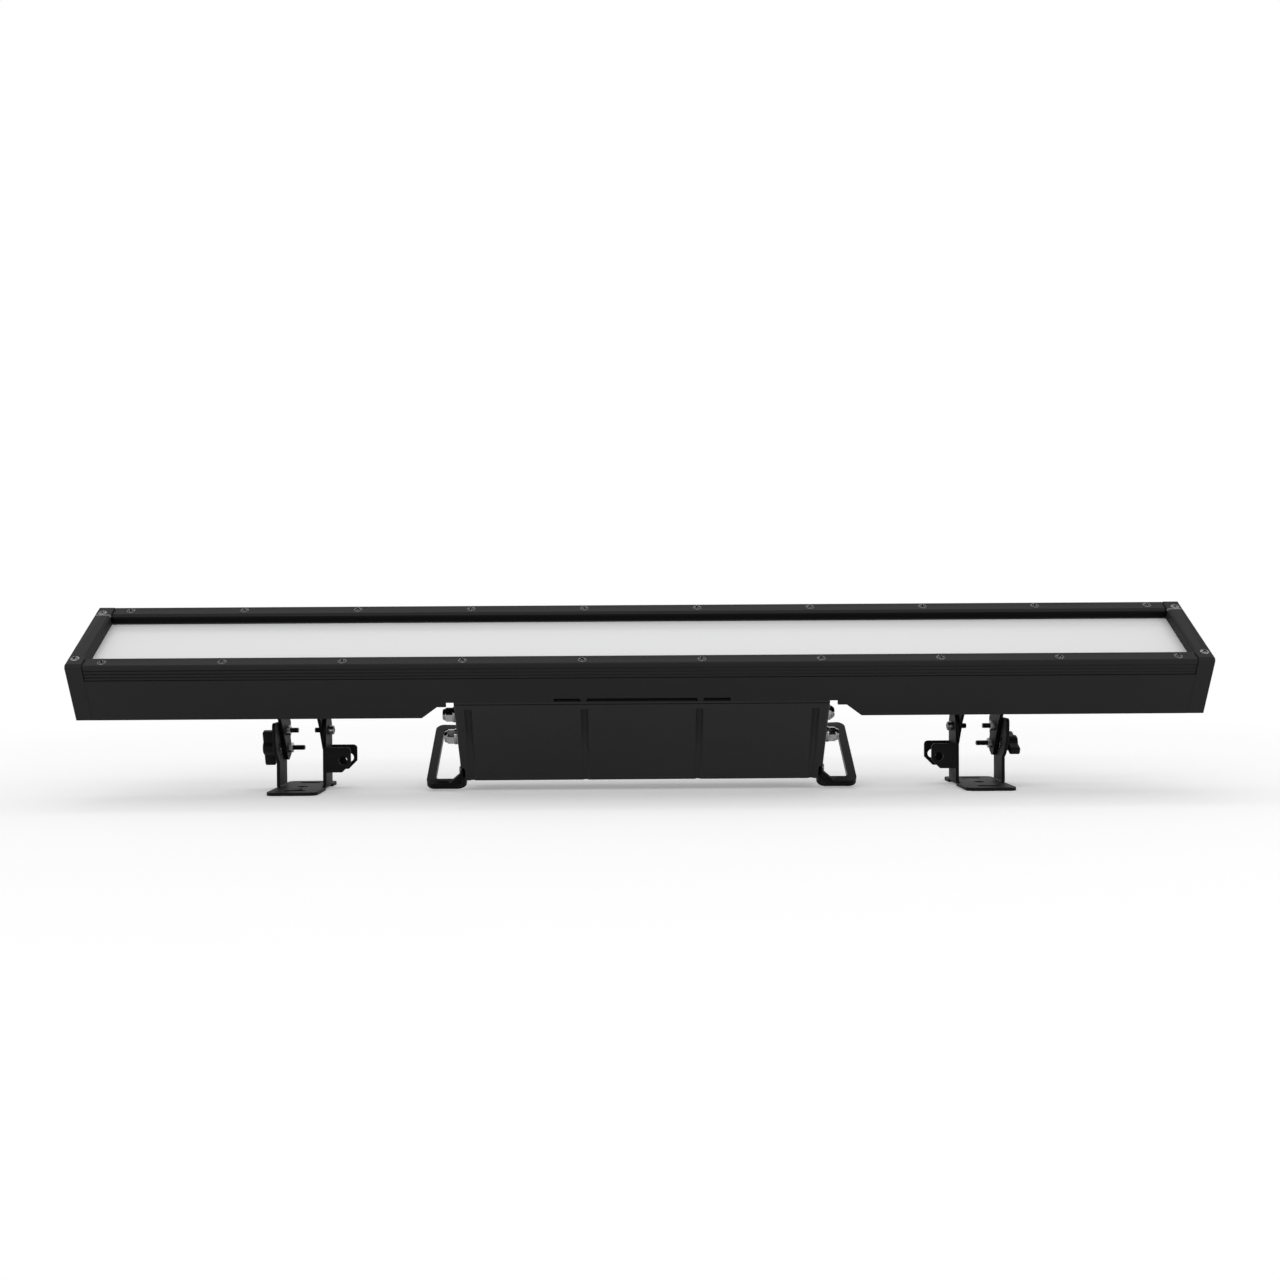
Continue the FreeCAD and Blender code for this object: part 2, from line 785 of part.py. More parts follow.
add_lamp_piece("driver_lid_screws", group([
    flat_head_screw(Vector(x, y, lid_top), down, driver_screw_r, driver_screw_head_r,
                    driver_screw_length) for x, y in lid_screw_places]))
add_lamp_piece("driver_mount_screws", group([
    cap_screw(Vector(x, y, deck_top), down, mount_screw_r, mount_screw_head_r, mount_screw_head,
              mount_screw_length) for x, y in mount_places]))
add_lamp_piece("driver_spacers", group([
    peg(Vector(x, y, lid_top), up, spacer_r, deck_bottom - lid_top).cut(
        peg(Vector(x, y, lid_top), up, mount_screw_r + screw_clear, deck_bottom - lid_top))
    for x, y in mount_places]))


# ---- Electronics in the driver box ----

circuit_bottom = cavity_floor + standoff_height
circuit_top = circuit_bottom + circuit_thick
circuit_front = (driver_depth - circuit_depth) / 2
circuit_rear = circuit_front + circuit_depth
add_lamp_piece("driver_board", block(-circuit_half, circuit_half, circuit_front, circuit_rear,
                                     circuit_bottom, circuit_top))
standoffs = []
for x_sign in (-1, 1):
    for y in (circuit_front + standoff_inset, circuit_rear - standoff_inset):
        standoffs.append(peg(Vector(x_sign * (circuit_half - standoff_inset), y, cavity_floor), up,
                             standoff_r, standoff_height))
add_lamp_piece("driver_standoffs", group(standoffs))

middle_y = driver_depth / 2


def on_board(x, size, lift):
    """A block of (length, depth, height) that stands over the board's middle line."""
    length, depth, height = size
    return block(x - length / 2, x + length / 2, middle_y - depth / 2, middle_y + depth / 2,
                 circuit_top + lift, circuit_top + lift + height)


winding_lift = (transformer_core[2] - transformer_winding[2]) / 2
add_lamp_piece("driver_transformer", union([on_board(transformer_x, transformer_core, 0),
                                            on_board(transformer_x, transformer_winding, winding_lift)]))
capacitors = []
for x in capacitor_x:
    capacitors.append(taper(Vector(x, middle_y - capacitor_line, circuit_top), up, capacitor_r, capacitor_r,
                            capacitor_height, capacitor_sides))
add_lamp_piece("driver_capacitors", group(capacitors))
sink_parts = [on_board(sink_x, (sink_length, sink_depth, sink_base), 0)]
for i in range(sink_fin_count):
    fin_x = sink_x - (sink_length - sink_fin) / 2 + sink_fin_pitch * i
    sink_parts.append(on_board(fin_x, (sink_fin, sink_depth, sink_height - sink_base), sink_base))
add_lamp_piece("driver_heat_sink", union(sink_parts))
terminal_top = circuit_top + terminal_height
terminal = block(lead_x - terminal_half, lead_x + terminal_half, circuit_rear - terminal_depth, circuit_rear,
                 circuit_top, terminal_top)
terminal_ledge = block(lead_x - terminal_half, lead_x + terminal_half, circuit_rear,
                       lead_y + connector_rear, terminal_top - terminal_shelf, terminal_top)
add_lamp_piece("driver_terminal", union([terminal, terminal_ledge]))

# The lead to the light boards runs straight up through the grommet into a connector on the deck.
lead_high = deck_top + connector_socket
lead = peg(Vector(lead_x, lead_y, terminal_top), up, lead_r, lead_high - terminal_top)
add_lamp_piece("light_lead", lead)
connector = block(lead_x - connector_half, lead_x + connector_half, lead_y - connector_half,
                  lead_y + connector_rear, deck_top, deck_top + connector_height)
connector = connector.cut(peg(Vector(lead_x, lead_y, deck_top), up, connector_socket_r, connector_socket))
add_lamp_piece("light_connector", connector)
grommet = peg(Vector(lead_x, lead_y, lid_bottom), up, grommet_r - grommet_fit, deck_top - lid_bottom)
grommet = grommet.fuse(peg(Vector(lead_x, lead_y, lid_top), up, grommet_flange_r, deck_bottom - lid_top))
grommet = grommet.cut(peg(Vector(lead_x, lead_y, lid_bottom - 1), up, lead_r + screw_clear,
                          deck_top - lid_bottom + 2))
add_lamp_piece("lead_grommet", grommet.removeSplitter())


# ---- Cable glands ----

case_outside = driver_shell()


def gland_stack(x_sign, drop):
    out = Vector(x_sign, 0, 0)
    inward = Vector(-x_sign, 0, 0)
    wall = x_sign * driver_bottom_half
    face = x_sign * (driver_top_half + 0.2)
    axis_y = gland_line
    base_end = Vector(face, axis_y, -drop) + out * gland_base
    base = rod(Vector(wall, axis_y, -drop), out, gland_base_r, abs(base_end.x - wall)).cut(case_outside)
    inner_wall = Vector(x_sign * cavity_half, axis_y, -drop)
    thread = peg(inner_wall + inward * gland_inside, out, gland_thread_r,
                 abs(base_end.x - inner_wall.x) + gland_inside)
    body = base.fuse(thread).removeSplitter()
    body = body.cut(peg(inner_wall + inward * (gland_inside + 1), out, gland_bore_r, 60))
    nut = hexagon(base_end, out, gland_nut_across, gland_nut_length)
    dome = Part.makeCone(gland_nut_across / 2, gland_dome_r, gland_dome_length,
                         base_end + out * gland_nut_length, out)
    nut = nut.fuse(dome).removeSplitter().cut(peg(base_end, out, gland_bore_r + 0.6, 30))
    seal = peg(base_end, out, gland_bore_r + 0.6, gland_nut_length + gland_dome_length - 1.0)
    seal = seal.cut(rod(base_end, out, gland_bore_r - 0.9, 30))
    lock = hexagon(inner_wall, inward, gland_lock_across, gland_lock)
    lock = lock.cut(peg(inner_wall, inward, gland_thread_r + screw_clear, gland_lock))
    return body, nut, seal, lock


gland_bodies = []
gland_nuts = []
gland_seals = []
gland_locks = []
for x_sign in (-1, 1):
    for drop in gland_drop:
        if x_sign == 1 and drop == gland_drop[0]:
            continue
        body, nut, seal, lock = gland_stack(x_sign, drop)
        gland_bodies.append(body)
        gland_nuts.append(nut)
        gland_seals.append(seal)
        gland_locks.append(lock)
add_lamp_piece("gland_bodies", group(gland_bodies))
add_lamp_piece("gland_cap_nuts", group(gland_nuts))
add_lamp_piece("gland_seals", group(gland_seals))

# The fourth place holds a short pressure vent.
vent_z = -gland_drop[0]
vent_face = Vector(driver_top_half + 0.2, gland_line, vent_z)
vent = rod(Vector(driver_bottom_half, gland_line, vent_z), right, gland_base_r,
           vent_face.x + gland_base - driver_bottom_half).cut(case_outside)
vent = vent.fuse(peg(Vector(cavity_half - gland_inside, gland_line, vent_z), right, gland_thread_r,
                     vent_face.x + gland_base - cavity_half + gland_inside))
vent = vent.fuse(Part.makeCone(gland_nut_across / 2, gland_dome_r, vent_length,
                               vent_face + right * gland_base, right)).removeSplitter()
add_lamp_piece("vent_plug", vent)
vent_wall = Vector(cavity_half, gland_line, vent_z)
gland_locks.append(hexagon(vent_wall, left, gland_lock_across, gland_lock).cut(
    peg(vent_wall, left, gland_thread_r + screw_clear, gland_lock)))
add_lamp_piece("gland_lock_nuts", group(gland_locks))


# ---- Lifting handles ----

def make_handle():
    """The right-hand handle: a flat ring with two ears on the end of the driver box."""
    inner_x = driver_bottom_half - ear_inward
    outer_x = driver_bottom_half + handle_reach
    low = -handle_drop - handle_thick
    ring = block(inner_x, outer_x, handle_front, handle_rear, low, -handle_drop)
    ring = round_corners(ring, handle_corner)
    window = block(inner_x + ear_thick, outer_x - handle_bar, handle_front + handle_bar,
                   handle_rear - handle_bar, low, -handle_drop)
    window = round_corners(window, handle_window_corner)
    parts = [ring.cut(window)]
    outline = ear_outline(ear_thick)
    outline[0] = (outline[0][0], -handle_drop - 1)
    outline[-1] = (outline[-1][0], -handle_drop - 1)
    ear_face = inner_x + ear_thick
    for front, rear in ear_places:
        near = front == handle_front
        ear = along_y(outline, front, rear)
        # The ear stays inside the ring's rounded corner.
        keep = round_corners(block(inner_x, outer_x, handle_front, handle_rear, low, -ear_top), handle_corner)
        parts.append(ear.common(keep))
        rib_front = front if near else rear - gusset_thick
        rib = along_y([(ear_face - 0.5, -handle_drop - 1), (ear_face - 0.5, -handle_drop + gusset_leg),
                       (ear_face, -handle_drop + gusset_leg), (ear_face + gusset_leg, -handle_drop),
                       (ear_face + gusset_leg, -handle_drop - 1)],
                      rib_front, rib_front + gusset_thick)
        parts.append(rib)
    handle = union(parts)
    holes = [peg(handle_screw_point(1, front, rear), left, handle_screw_r + screw_clear,
                 handle_screw_length) for front, rear in ear_places]
    return handle.cut(holes)


def round_corners(slab, radius):
    edges = [edge for edge in slab.Edges if abs(edge.Vertexes[0].Z - edge.Vertexes[-1].Z) > 0.5]
    return slab.makeFillet(radius, edges)


right_handle = make_handle()
add_lamp_piece("handle_right", right_handle)
add_lamp_piece("handle_left", mirror_sides(right_handle))
handle_screws = []
for x_sign in (-1, 1):
    for front, rear in ear_places:
        handle_screws.append(cap_screw(handle_screw_point(x_sign, front, rear), Vector(-x_sign, 0, 0),
                                       handle_screw_r, handle_screw_head_r, handle_screw_head,
                                       handle_screw_length - 0.5))
add_lamp_piece("handle_screws", group(handle_screws))


# ---- Hangers ----
# All from here is drawn for the right-hand bracket and mirrored for the left-hand one.

outer_arm_in = bracket_width / 2 - bracket_thick
ear_out = outer_arm_in - arm_play
ear_in = ear_out - hanger_thick
pivot_z = -pivot_drop


def hanger_ear(reach, x0):
    """An ear from the deck to beyond the pivot, narrowing to a rounded end."""
    root_half = hanger_root / 2
    waist = hanger_width / 2
    tip = hanger_tip / 2
    corner = tip * 0.7
    middle = pivot_line
    end = pivot_z - reach
    points = [
        Vector(x0, middle - root_half, deck_bottom),
        Vector(x0, middle + root_half, deck_bottom),
        Vector(x0, middle + root_half, -lamp_height + 2),
        Vector(x0, middle + waist, pivot_z + waist),
        Vector(x0, middle + tip, end + corner),
    ]
    edges = [Part.makeLine(points[i], points[i + 1]) for i in range(4)]
    low_right = Vector(x0, middle + tip - corner, end)
    low_left = Vector(x0, middle - tip + corner, end)
    diagonal = corner * (1 - math.sqrt(0.5))
    edges.append(Part.Arc(points[4], Vector(x0, middle + tip - diagonal, end + diagonal), low_right).toShape())
    edges.append(Part.makeLine(low_right, low_left))
    left_up = Vector(x0, middle - tip, end + corner)
    edges.append(Part.Arc(low_left, Vector(x0, middle - tip + diagonal, end + diagonal), left_up).toShape())
    left_waist = Vector(x0, middle - waist, pivot_z + waist)
    left_root = Vector(x0, middle - root_half, -lamp_height + 2)
    edges.append(Part.makeLine(left_up, left_waist))
    edges.append(Part.makeLine(left_waist, left_root))
    edges.append(Part.makeLine(left_root, points[0]))
    return Part.Face(Part.Wire(edges)).extrude(Vector(hanger_thick, 0, 0))


def make_hanger():
    """A folded U: a top plate screwed under the deck and two ears."""
    outer = hanger_ear(hanger_long, bracket_x + ear_in)
    inner = hanger_ear(hanger_short, bracket_x - ear_out)
    top = block(bracket_x - ear_out, bracket_x + ear_out, pivot_line - hanger_root / 2,
                pivot_line + hanger_root / 2, deck_bottom - hanger_thick, deck_bottom)
    hanger = union([outer, inner, top])
    bends = [edge for edge in hanger.Edges
             if is_bend(edge, deck_bottom, (bracket_x - ear_out, bracket_x + ear_out))]
    hanger = hanger.makeFillet(hanger_thick, bends)
    flange = block(bracket_x - ear_in, bracket_x + ear_in, pivot_line - hanger_top / 2,
                   pivot_line + hanger_top / 2, deck_bottom - hanger_thick, deck_bottom)
    hanger = union([hanger, round_corners(flange, hanger_thick)])
    cuts = []
    for x, y in hanger_screw_places():
        if x > 0:
            cuts.append(peg(Vector(x, y, deck_bottom), down, hanger_screw_r + screw_clear, hanger_thick))
    cuts.append(rod(Vector(bracket_x - ear_out - 1, pivot_line, pivot_z), right,
                    pivot_r + screw_clear, bracket_width))
    cuts.append(rod(Vector(bracket_x + ear_in - 1, pivot_line, pivot_z - slot_r), right,
                    pivot_r + pivot_fit, hanger_thick + 2))
    return hanger.cut(cuts)


def is_bend(edge, z, x_values):
    """True for a straight edge along y at height z and at one of x_values."""
    first = edge.Vertexes[0].Point
    last = edge.Vertexes[-1].Point
    if abs(first.y - last.y) < 1 or abs(first.z - z) > 1e-4 or abs(last.z - z) > 1e-4:
        return False
    return any(abs(first.x - x) < 1e-4 and abs(last.x - x) < 1e-4 for x in x_values)


right_hanger = make_hanger()
add_lamp_piece("hanger_right", right_hanger)
add_lamp_piece("hanger_left", mirror_sides(right_hanger))
add_lamp_piece("hanger_screws", group([
    cap_screw(Vector(x, y, deck_top), down, hanger_screw_r, hanger_screw_head_r, hanger_screw_head,
              deck_thick + hanger_thick + 5) for x, y in hanger_screw_places()]))
hanger_nuts = []
for x, y in hanger_screw_places():
    seat = Vector(x, y, deck_bottom - hanger_thick)
    hanger_nuts.append(hexagon(seat, down, nut_across, nut_height).cut(
        peg(seat, down, hanger_screw_r + nut_fit, nut_height)))
add_lamp_piece("hanger_nuts", group(hanger_nuts))


# ---- Clamp studs, nuts and knobs: they stay with the hanger and travel in the arc slot ----

arm_out = bracket_width / 2
stud_point = Vector(0, pivot_line, pivot_z - slot_r)


def make_stud():
    """The threaded stud that is moulded into the knob."""
    start = bracket_x + ear_in - nut_height - stud_tip
    end = bracket_x + arm_out + washer + knob_base
    return rod(Vector(start, stud_point.y, stud_point.z), right, pivot_r, end - start)


def make_knob(turn):
    """A wing knob: a round boss with two wings that taper to their ends."""
    seat = bracket_x + arm_out + washer
    centre = Vector(seat, stud_point.y, stud_point.z)
    boss = taper(centre, right, knob_hub_r, knob_hub_r - 0.8, knob_base, turned_sides)
    half = knob_length / 2
    wing_half = knob_wing / 2
    plan = [
        (-half, knob_thick * 0.45), (-half + 1.5, knob_thick - 1), (-half + 5, knob_thick),
        (half - 5, knob_thick), (half - 1.5, knob_thick - 1), (half, knob_thick * 0.45),
        (half - 3, knob_base), (-half + 3, knob_base),
    ]
    face = face_of([Vector(seat + out, stud_point.y - wing_half, stud_point.z + along)
                    for along, out in plan])
    wings = face.extrude(Vector(0, knob_wing, 0))
    neck = taper(centre + right * knob_base, right, knob_hub_r - 0.8, wing_half, knob_thick * 0.6,
                 turned_sides)
    knob = union([boss, wings, neck])
    knob = knob.cut(rod(Vector(seat - 1, stud_point.y, stud_point.z), right, pivot_r, knob_base + 1))
    knob.rotate(centre, right, turn)
    return knob


right_stud = make_stud()
washer_start = Vector(bracket_x + arm_out, stud_point.y, stud_point.z)
right_washer = taper(washer_start, right, washer_r, washer_r, washer, turned_sides).cut(
    rod(washer_start, right, pivot_r + nut_fit, washer))
nut_start = Vector(bracket_x + ear_in - nut_height, stud_point.y, stud_point.z)
right_stud_nut = hexagon(nut_start, right, nut_across, nut_height).cut(
    rod(nut_start, right, pivot_r + pivot_fit, nut_height))
add_lamp_piece("knob_right", make_knob(knob_turn_right))
add_lamp_piece("knob_left", mirror_sides(make_knob(knob_turn_left)))
add_lamp_piece("knob_stud_right", right_stud)
add_lamp_piece("knob_stud_left", mirror_sides(right_stud))
add_lamp_piece("knob_washer_right", right_washer)
add_lamp_piece("knob_washer_left", mirror_sides(right_washer))
add_lamp_piece("stud_nuts", group([right_stud_nut, mirror_sides(right_stud_nut)]))


# ---- Pivot bolts: held in the hanger ears, the bracket arms turn on them ----

def outer_pivot():
    head_seat = Vector(bracket_x + arm_out, pivot_line, pivot_z)
    length = bracket_thick + arm_play + hanger_thick + nut_height + outer_tip
    return pivot_bolt(head_seat, left, outer_head, length)


def inner_pivot():
    head_seat = Vector(bracket_x - arm_out, pivot_line, pivot_z)
    length = bracket_thick + arm_play + hanger_thick + inner_tip
    bolt = pivot_bolt(head_seat, right, pivot_head, length)
    return bolt.cut(hexagon(head_seat + left * pivot_head, right, socket_across, socket_depth))


outer_nut_start = Vector(bracket_x + ear_in - nut_height, pivot_line, pivot_z)
outer_pivot_nut = hexagon(outer_nut_start, right, nut_across, nut_height).cut(
    rod(outer_nut_start, right, pivot_r + nut_fit, nut_height))
right_pivots = [outer_pivot(), inner_pivot()]
add_lamp_piece("pivot_bolts", group(right_pivots + [mirror_sides(s) for s in right_pivots]))
add_lamp_piece("pivot_nuts", group([outer_pivot_nut, mirror_sides(outer_pivot_nut)]))


# ---- Brackets, drawn where they stand ----

pivot_y = plate_middle
floor_front = pivot_y - plate_front
floor_rear = pivot_y + plate_rear
pivot_world = Vector(0, pivot_y, pivot_height)


def arm_side(head):
    """The side outline of an arm, as a solid across the bracket's whole width."""
    x0 = bracket_x - bracket_width / 2 - 1
    span = Vector(bracket_width + 2, 0, 0)
    half = arm_width / 2
    shaft_top = pivot_height
    shaft = block(x0, x0 + span.x, pivot_y - half, pivot_y + half, 0, shaft_top)
    if head:
        disc = rod(Vector(x0, pivot_y, pivot_height), right, head_r, span.x)
        below = block(x0, x0 + span.x, pivot_y - head_r, pivot_y + head_r,
                      pivot_height - head_r, pivot_height)
        cap = block(x0, x0 + span.x, pivot_y - head_r, pivot_y + head_r,
                    pivot_height, pivot_height + head_rise)
        corners = [edge for edge in cap.Edges
                   if abs(edge.Vertexes[0].X - edge.Vertexes[1].X) > 1
                   and edge.Vertexes[0].Z > pivot_height + 1]
        cap = cap.makeFillet(head_corner, corners)
        return union([shaft, disc.common(below), cap])
    top = rod(Vector(x0, pivot_y, pivot_height), right, half, span.x)
    return union([shaft, top])


def folded_arms(low, high):
    """The two arms folded up from the plate, with the strip of plate between them."""
    front = pivot_y - head_r
    rear = pivot_y + head_r
    top = pivot_height + head_r
    strip = block(low, high, front, rear, 0, top)
    strip = strip.cut(block(low + bracket_thick, high - bracket_thick, front, rear,
                            bracket_thick, top))
    inner_fold = [edge for edge in strip.Edges
                  if is_bend(edge, bracket_thick, (low + bracket_thick, high - bracket_thick))]
    strip = strip.makeFillet(bracket_bend, inner_fold)
    outer_fold = [edge for edge in strip.Edges if is_bend(edge, 0, (low, high))]
    strip = strip.makeFillet(bracket_bend + bracket_thick, outer_fold)
    outer_half = strip.common(block(bracket_x, high, front, rear, 0, top))
    inner_half = strip.common(block(low, bracket_x, front, rear, 0, top))
    return [outer_half.common(arm_side(True)), inner_half.common(arm_side(False))]


def make_bracket():
    low = bracket_x - bracket_width / 2
    high = bracket_x + bracket_width / 2
    plate = round_corners(block(low, high, floor_front, floor_rear, 0, bracket_thick), plate_corner)
    half = arm_width / 2
    # Relief notches let the arms fold up from the plate's edges.
    fold_width = bracket_thick + bracket_bend
    notches = []
    for start in (low, high - fold_width):
        notches.append(block(start, start + fold_width, pivot_y - half - relief,
                             pivot_y + half + relief, 0, bracket_thick))
    plate = plate.cut(notches)
    bracket = union([plate] + folded_arms(low, high) + [make_clevis(low)])

    holes = []
    for y in (-plate_slot_pitch / 2, plate_slot_pitch / 2):
        holes.append(plate_slot(bracket_x, y))
    holes.append(rod(Vector(bracket_x, 0, -1), up, plate_hole_r, bracket_thick + 2))
    holes.append(rod(Vector(low - 1, pivot_y, pivot_height), right, pivot_r + pivot_fit,
                     bracket_width + 2))
    holes.append(arc_slot(high - bracket_thick - 1, bracket_thick + 2))
    holes.append(rod(Vector(low - clevis_hole_out, pivot_y - arm_width, clevis_hole_height),
                     Vector(0, 1, 0), clevis_hole_r, arm_width * 2))
    return bracket.cut(holes)


def plate_slot(x, y):
    """A round-ended slot along x through the base plate."""
    straight = (plate_slot_length - plate_slot_width) / 2
    radius = plate_slot_width / 2
    ends = [rod(Vector(x + dx, y, -1), up, radius, bracket_thick + 2) for dx in (-straight, straight)]
    return union(ends + [block(x - straight, x + straight, y - radius, y + radius,
                               -1, bracket_thick + 1)])


def arc_slot(x, depth):
    """The slot that the clamp stud travels in, centred under the pivot."""
    inner = slot_r - pivot_r - slot_fit
    outer = slot_r + pivot_r + slot_fit
    centre = Vector(x, pivot_y, pivot_height)

    def at(angle, radius):
        turn = math.radians(angle)
        return Vector(x, pivot_y + radius * math.sin(turn), pivot_height - radius * math.cos(turn))

    first = -slot_low - 1
    last = slot_high + 1
    edges = [
        Part.Arc(at(first, outer), at(0, outer), at(last, outer)).toShape(),
        Part.makeLine(at(last, outer), at(last, inner)),
        Part.Arc(at(last, inner), at(0, inner), at(first, inner)).toShape(),
        Part.makeLine(at(first, inner), at(first, outer)),
    ]
    band = Part.Face(Part.Wire(edges)).extrude(Vector(depth, 0, 0))
    ends = [rod(at(angle, slot_r), right, pivot_r + slot_fit, depth) for angle in (first, last)]
    return union([band] + ends)


def make_clevis(arm_x):
    """Two flanges folded out of the inner arm's edges towards the middle of the lamp."""
    end_x = arm_x - clevis_reach + bracket_thick
    face_x = arm_x + bracket_thick
    half = clevis_gap / 2
    clevis = block(end_x, face_x, pivot_y - half - bracket_thick, pivot_y + half + bracket_thick,
                   clevis_low, clevis_high)
    clevis = clevis.cut(block(end_x, arm_x, pivot_y - half, pivot_y + half, clevis_low, clevis_high))
    inner_fold = [edge for edge in clevis.Edges if is_upright(edge, arm_x, half)]
    clevis = clevis.makeFillet(bracket_bend, inner_fold)
    outer_fold = [edge for edge in clevis.Edges if is_upright(edge, face_x, half + bracket_thick)]
    clevis = clevis.makeFillet(bracket_bend + bracket_thick, outer_fold)
    outline = [
        (face_x, clevis_low),
        (end_x + clevis_cut, clevis_low),
        (end_x, clevis_low + clevis_cut),
        (end_x, clevis_high - clevis_round),
        (end_x + clevis_round * 0.3, clevis_high - clevis_round * 0.3),
        (end_x + clevis_round, clevis_high),
        (face_x, clevis_high),
    ]
    return clevis.common(along_y(outline, pivot_y - arm_width, pivot_y + arm_width))


def is_upright(edge, x, reach):
    """True for an upright edge at x, at the given distance from the pivot's plane."""
    first = edge.Vertexes[0].Point
    last = edge.Vertexes[-1].Point
    if abs(first.z - last.z) < 1 or abs(first.x - x) > 1e-4 or abs(last.x - x) > 1e-4:
        return False
    return abs(abs(first.y - pivot_y) - reach) < 1e-4


right_bracket = make_bracket()
add_piece("bracket_right", right_bracket)
add_piece("bracket_left", mirror_sides(right_bracket))


# ---- Files ----

for name, shape in nodes.items():
    if not shape.isValid():
        print("not valid:", name)
    shape.exportStep("parts/" + name + ".step")
whole = Part.makeCompound(list(nodes.values()))
bounds = whole.BoundBox
print("nodes", len(nodes))
print("size x %.1f..%.1f y %.1f..%.1f z %.1f..%.1f" % (
    bounds.XMin, bounds.XMax, bounds.YMin, bounds.YMax, bounds.ZMin, bounds.ZMax))
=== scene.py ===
import json
import math

import bmesh
import bpy
from mathutils import Matrix, Vector


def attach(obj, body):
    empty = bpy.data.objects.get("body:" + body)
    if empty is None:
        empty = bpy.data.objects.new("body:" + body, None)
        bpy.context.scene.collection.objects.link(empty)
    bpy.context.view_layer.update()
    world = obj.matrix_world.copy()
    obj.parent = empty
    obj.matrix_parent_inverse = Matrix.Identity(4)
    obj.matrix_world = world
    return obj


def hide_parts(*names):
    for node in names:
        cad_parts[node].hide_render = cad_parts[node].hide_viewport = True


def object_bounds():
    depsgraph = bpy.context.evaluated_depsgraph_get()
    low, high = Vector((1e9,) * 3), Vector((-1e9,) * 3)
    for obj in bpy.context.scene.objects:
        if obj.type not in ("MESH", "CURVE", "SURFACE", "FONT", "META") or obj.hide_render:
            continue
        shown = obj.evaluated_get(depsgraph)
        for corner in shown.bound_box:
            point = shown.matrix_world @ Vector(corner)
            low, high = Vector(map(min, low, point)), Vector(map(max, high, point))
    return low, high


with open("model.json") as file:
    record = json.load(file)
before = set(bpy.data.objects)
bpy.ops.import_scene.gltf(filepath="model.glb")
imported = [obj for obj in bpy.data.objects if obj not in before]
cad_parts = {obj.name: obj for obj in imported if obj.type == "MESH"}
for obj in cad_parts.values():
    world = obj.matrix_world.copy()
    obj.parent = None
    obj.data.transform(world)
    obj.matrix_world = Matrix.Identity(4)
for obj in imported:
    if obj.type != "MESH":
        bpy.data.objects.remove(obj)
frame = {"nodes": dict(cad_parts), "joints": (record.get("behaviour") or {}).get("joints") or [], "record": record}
cadLow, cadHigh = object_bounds()
print("frame loaded")

lampTilt = math.radians(30)
lampUp = Vector((0, -math.sin(lampTilt), math.cos(lampTilt)))  # out of the window
lampFront = Vector((0, -math.cos(lampTilt), -math.sin(lampTilt)))
alongLamp = Vector((1, 0, 0))
sides = {"left": -1, "right": 1}


# Shader helpers

class Value:  # a socket that takes part in sums
    def __init__(self, finish, socket):
        self.finish = finish
        self.socket = socket

    def maths(self, operation, first, second):
        return self.finish.node("ShaderNodeMath", {"operation": operation}, {0: first, 1: second})

    def __add__(self, other):
        return self.maths("ADD", self, other)

    def __radd__(self, other):
        return self.maths("ADD", other, self)

    def __sub__(self, other):
        return self.maths("SUBTRACT", self, other)

    def __rsub__(self, other):
        return self.maths("SUBTRACT", other, self)

    def __mul__(self, other):
        return self.maths("MULTIPLY", self, other)

    def __rmul__(self, other):
        return self.maths("MULTIPLY", other, self)

    def __gt__(self, other):
        return self.maths("GREATER_THAN", self, other)

    def __lt__(self, other):
        return self.maths("LESS_THAN", self, other)


class Finish:
    def __init__(self, owner, outputKind="ShaderNodeOutputMaterial"):  # owner is a material or the world
        owner.use_nodes = True
        self.material = owner
        self.tree = owner.node_tree
        self.tree.nodes.clear()
        self.output = self.tree.nodes.new(outputKind)

    def node(self, kind, settings=None, sockets=None, output=0):
        made = self.tree.nodes.new(kind)
        for name, setting in (settings or {}).items():
            if name == "stops":
                ramp = made.color_ramp
                while len(ramp.elements) < len(setting):
                    ramp.elements.new(0.5)
                for element, (place, shade) in zip(ramp.elements, setting):
                    element.position = place
                    element.color = (shade, shade, shade, 1)
            else:
                setattr(made, name, setting)
        for name, given in (sockets or {}).items():
            if isinstance(given, Value):
                self.tree.links.new(given.socket, made.inputs[name])
            else:
                made.inputs[name].default_value = given
        return Value(self, made.outputs[output])

    def place(self, scale=(1, 1, 1), turn=(0, 0, 0)):
        point = self.node("ShaderNodeTexCoord", {}, {}, "Object")
        return self.node("ShaderNodeMapping", {}, {"Vector": point, "Scale": scale, "Rotation": turn})

    def noise(self, point, scale, detail=2.0, roughness=0.5):
        return self.node("ShaderNodeTexNoise", {}, {"Vector": point, "Scale": scale, "Detail": detail,
                                                    "Roughness": roughness})

    def blend(self, factor, first, second):  # between two colours, written or worked out
        first, second = (shade if isinstance(shade, Value) else (*shade, 1) for shade in (first, second))
        return self.node("ShaderNodeMix", {"data_type": "RGBA"}, {"Factor": factor, 6: first, 7: second}, 2)

    def along(self, direction):  # how far a point lies in a direction
        return self.node("ShaderNodeVectorMath", {"operation": "DOT_PRODUCT"},
                         {0: self.place(), 1: direction}, 1)

    def bump(self, height, distance, strength=1.0):
        return self.node("ShaderNodeBump", {}, {"Strength": strength, "Distance": distance, "Height": height})

    def principled(self, **sockets):
        named = {name.replace("_", " "): given for name, given in sockets.items()}
        return self.node("ShaderNodeBsdfPrincipled", {}, named)

    def show(self, shader):
        self.tree.links.new(shader.socket, self.output.inputs["Surface"])
        return self.material


def newFinish(name):
    return Finish(bpy.data.materials.new(name))


# Finishes

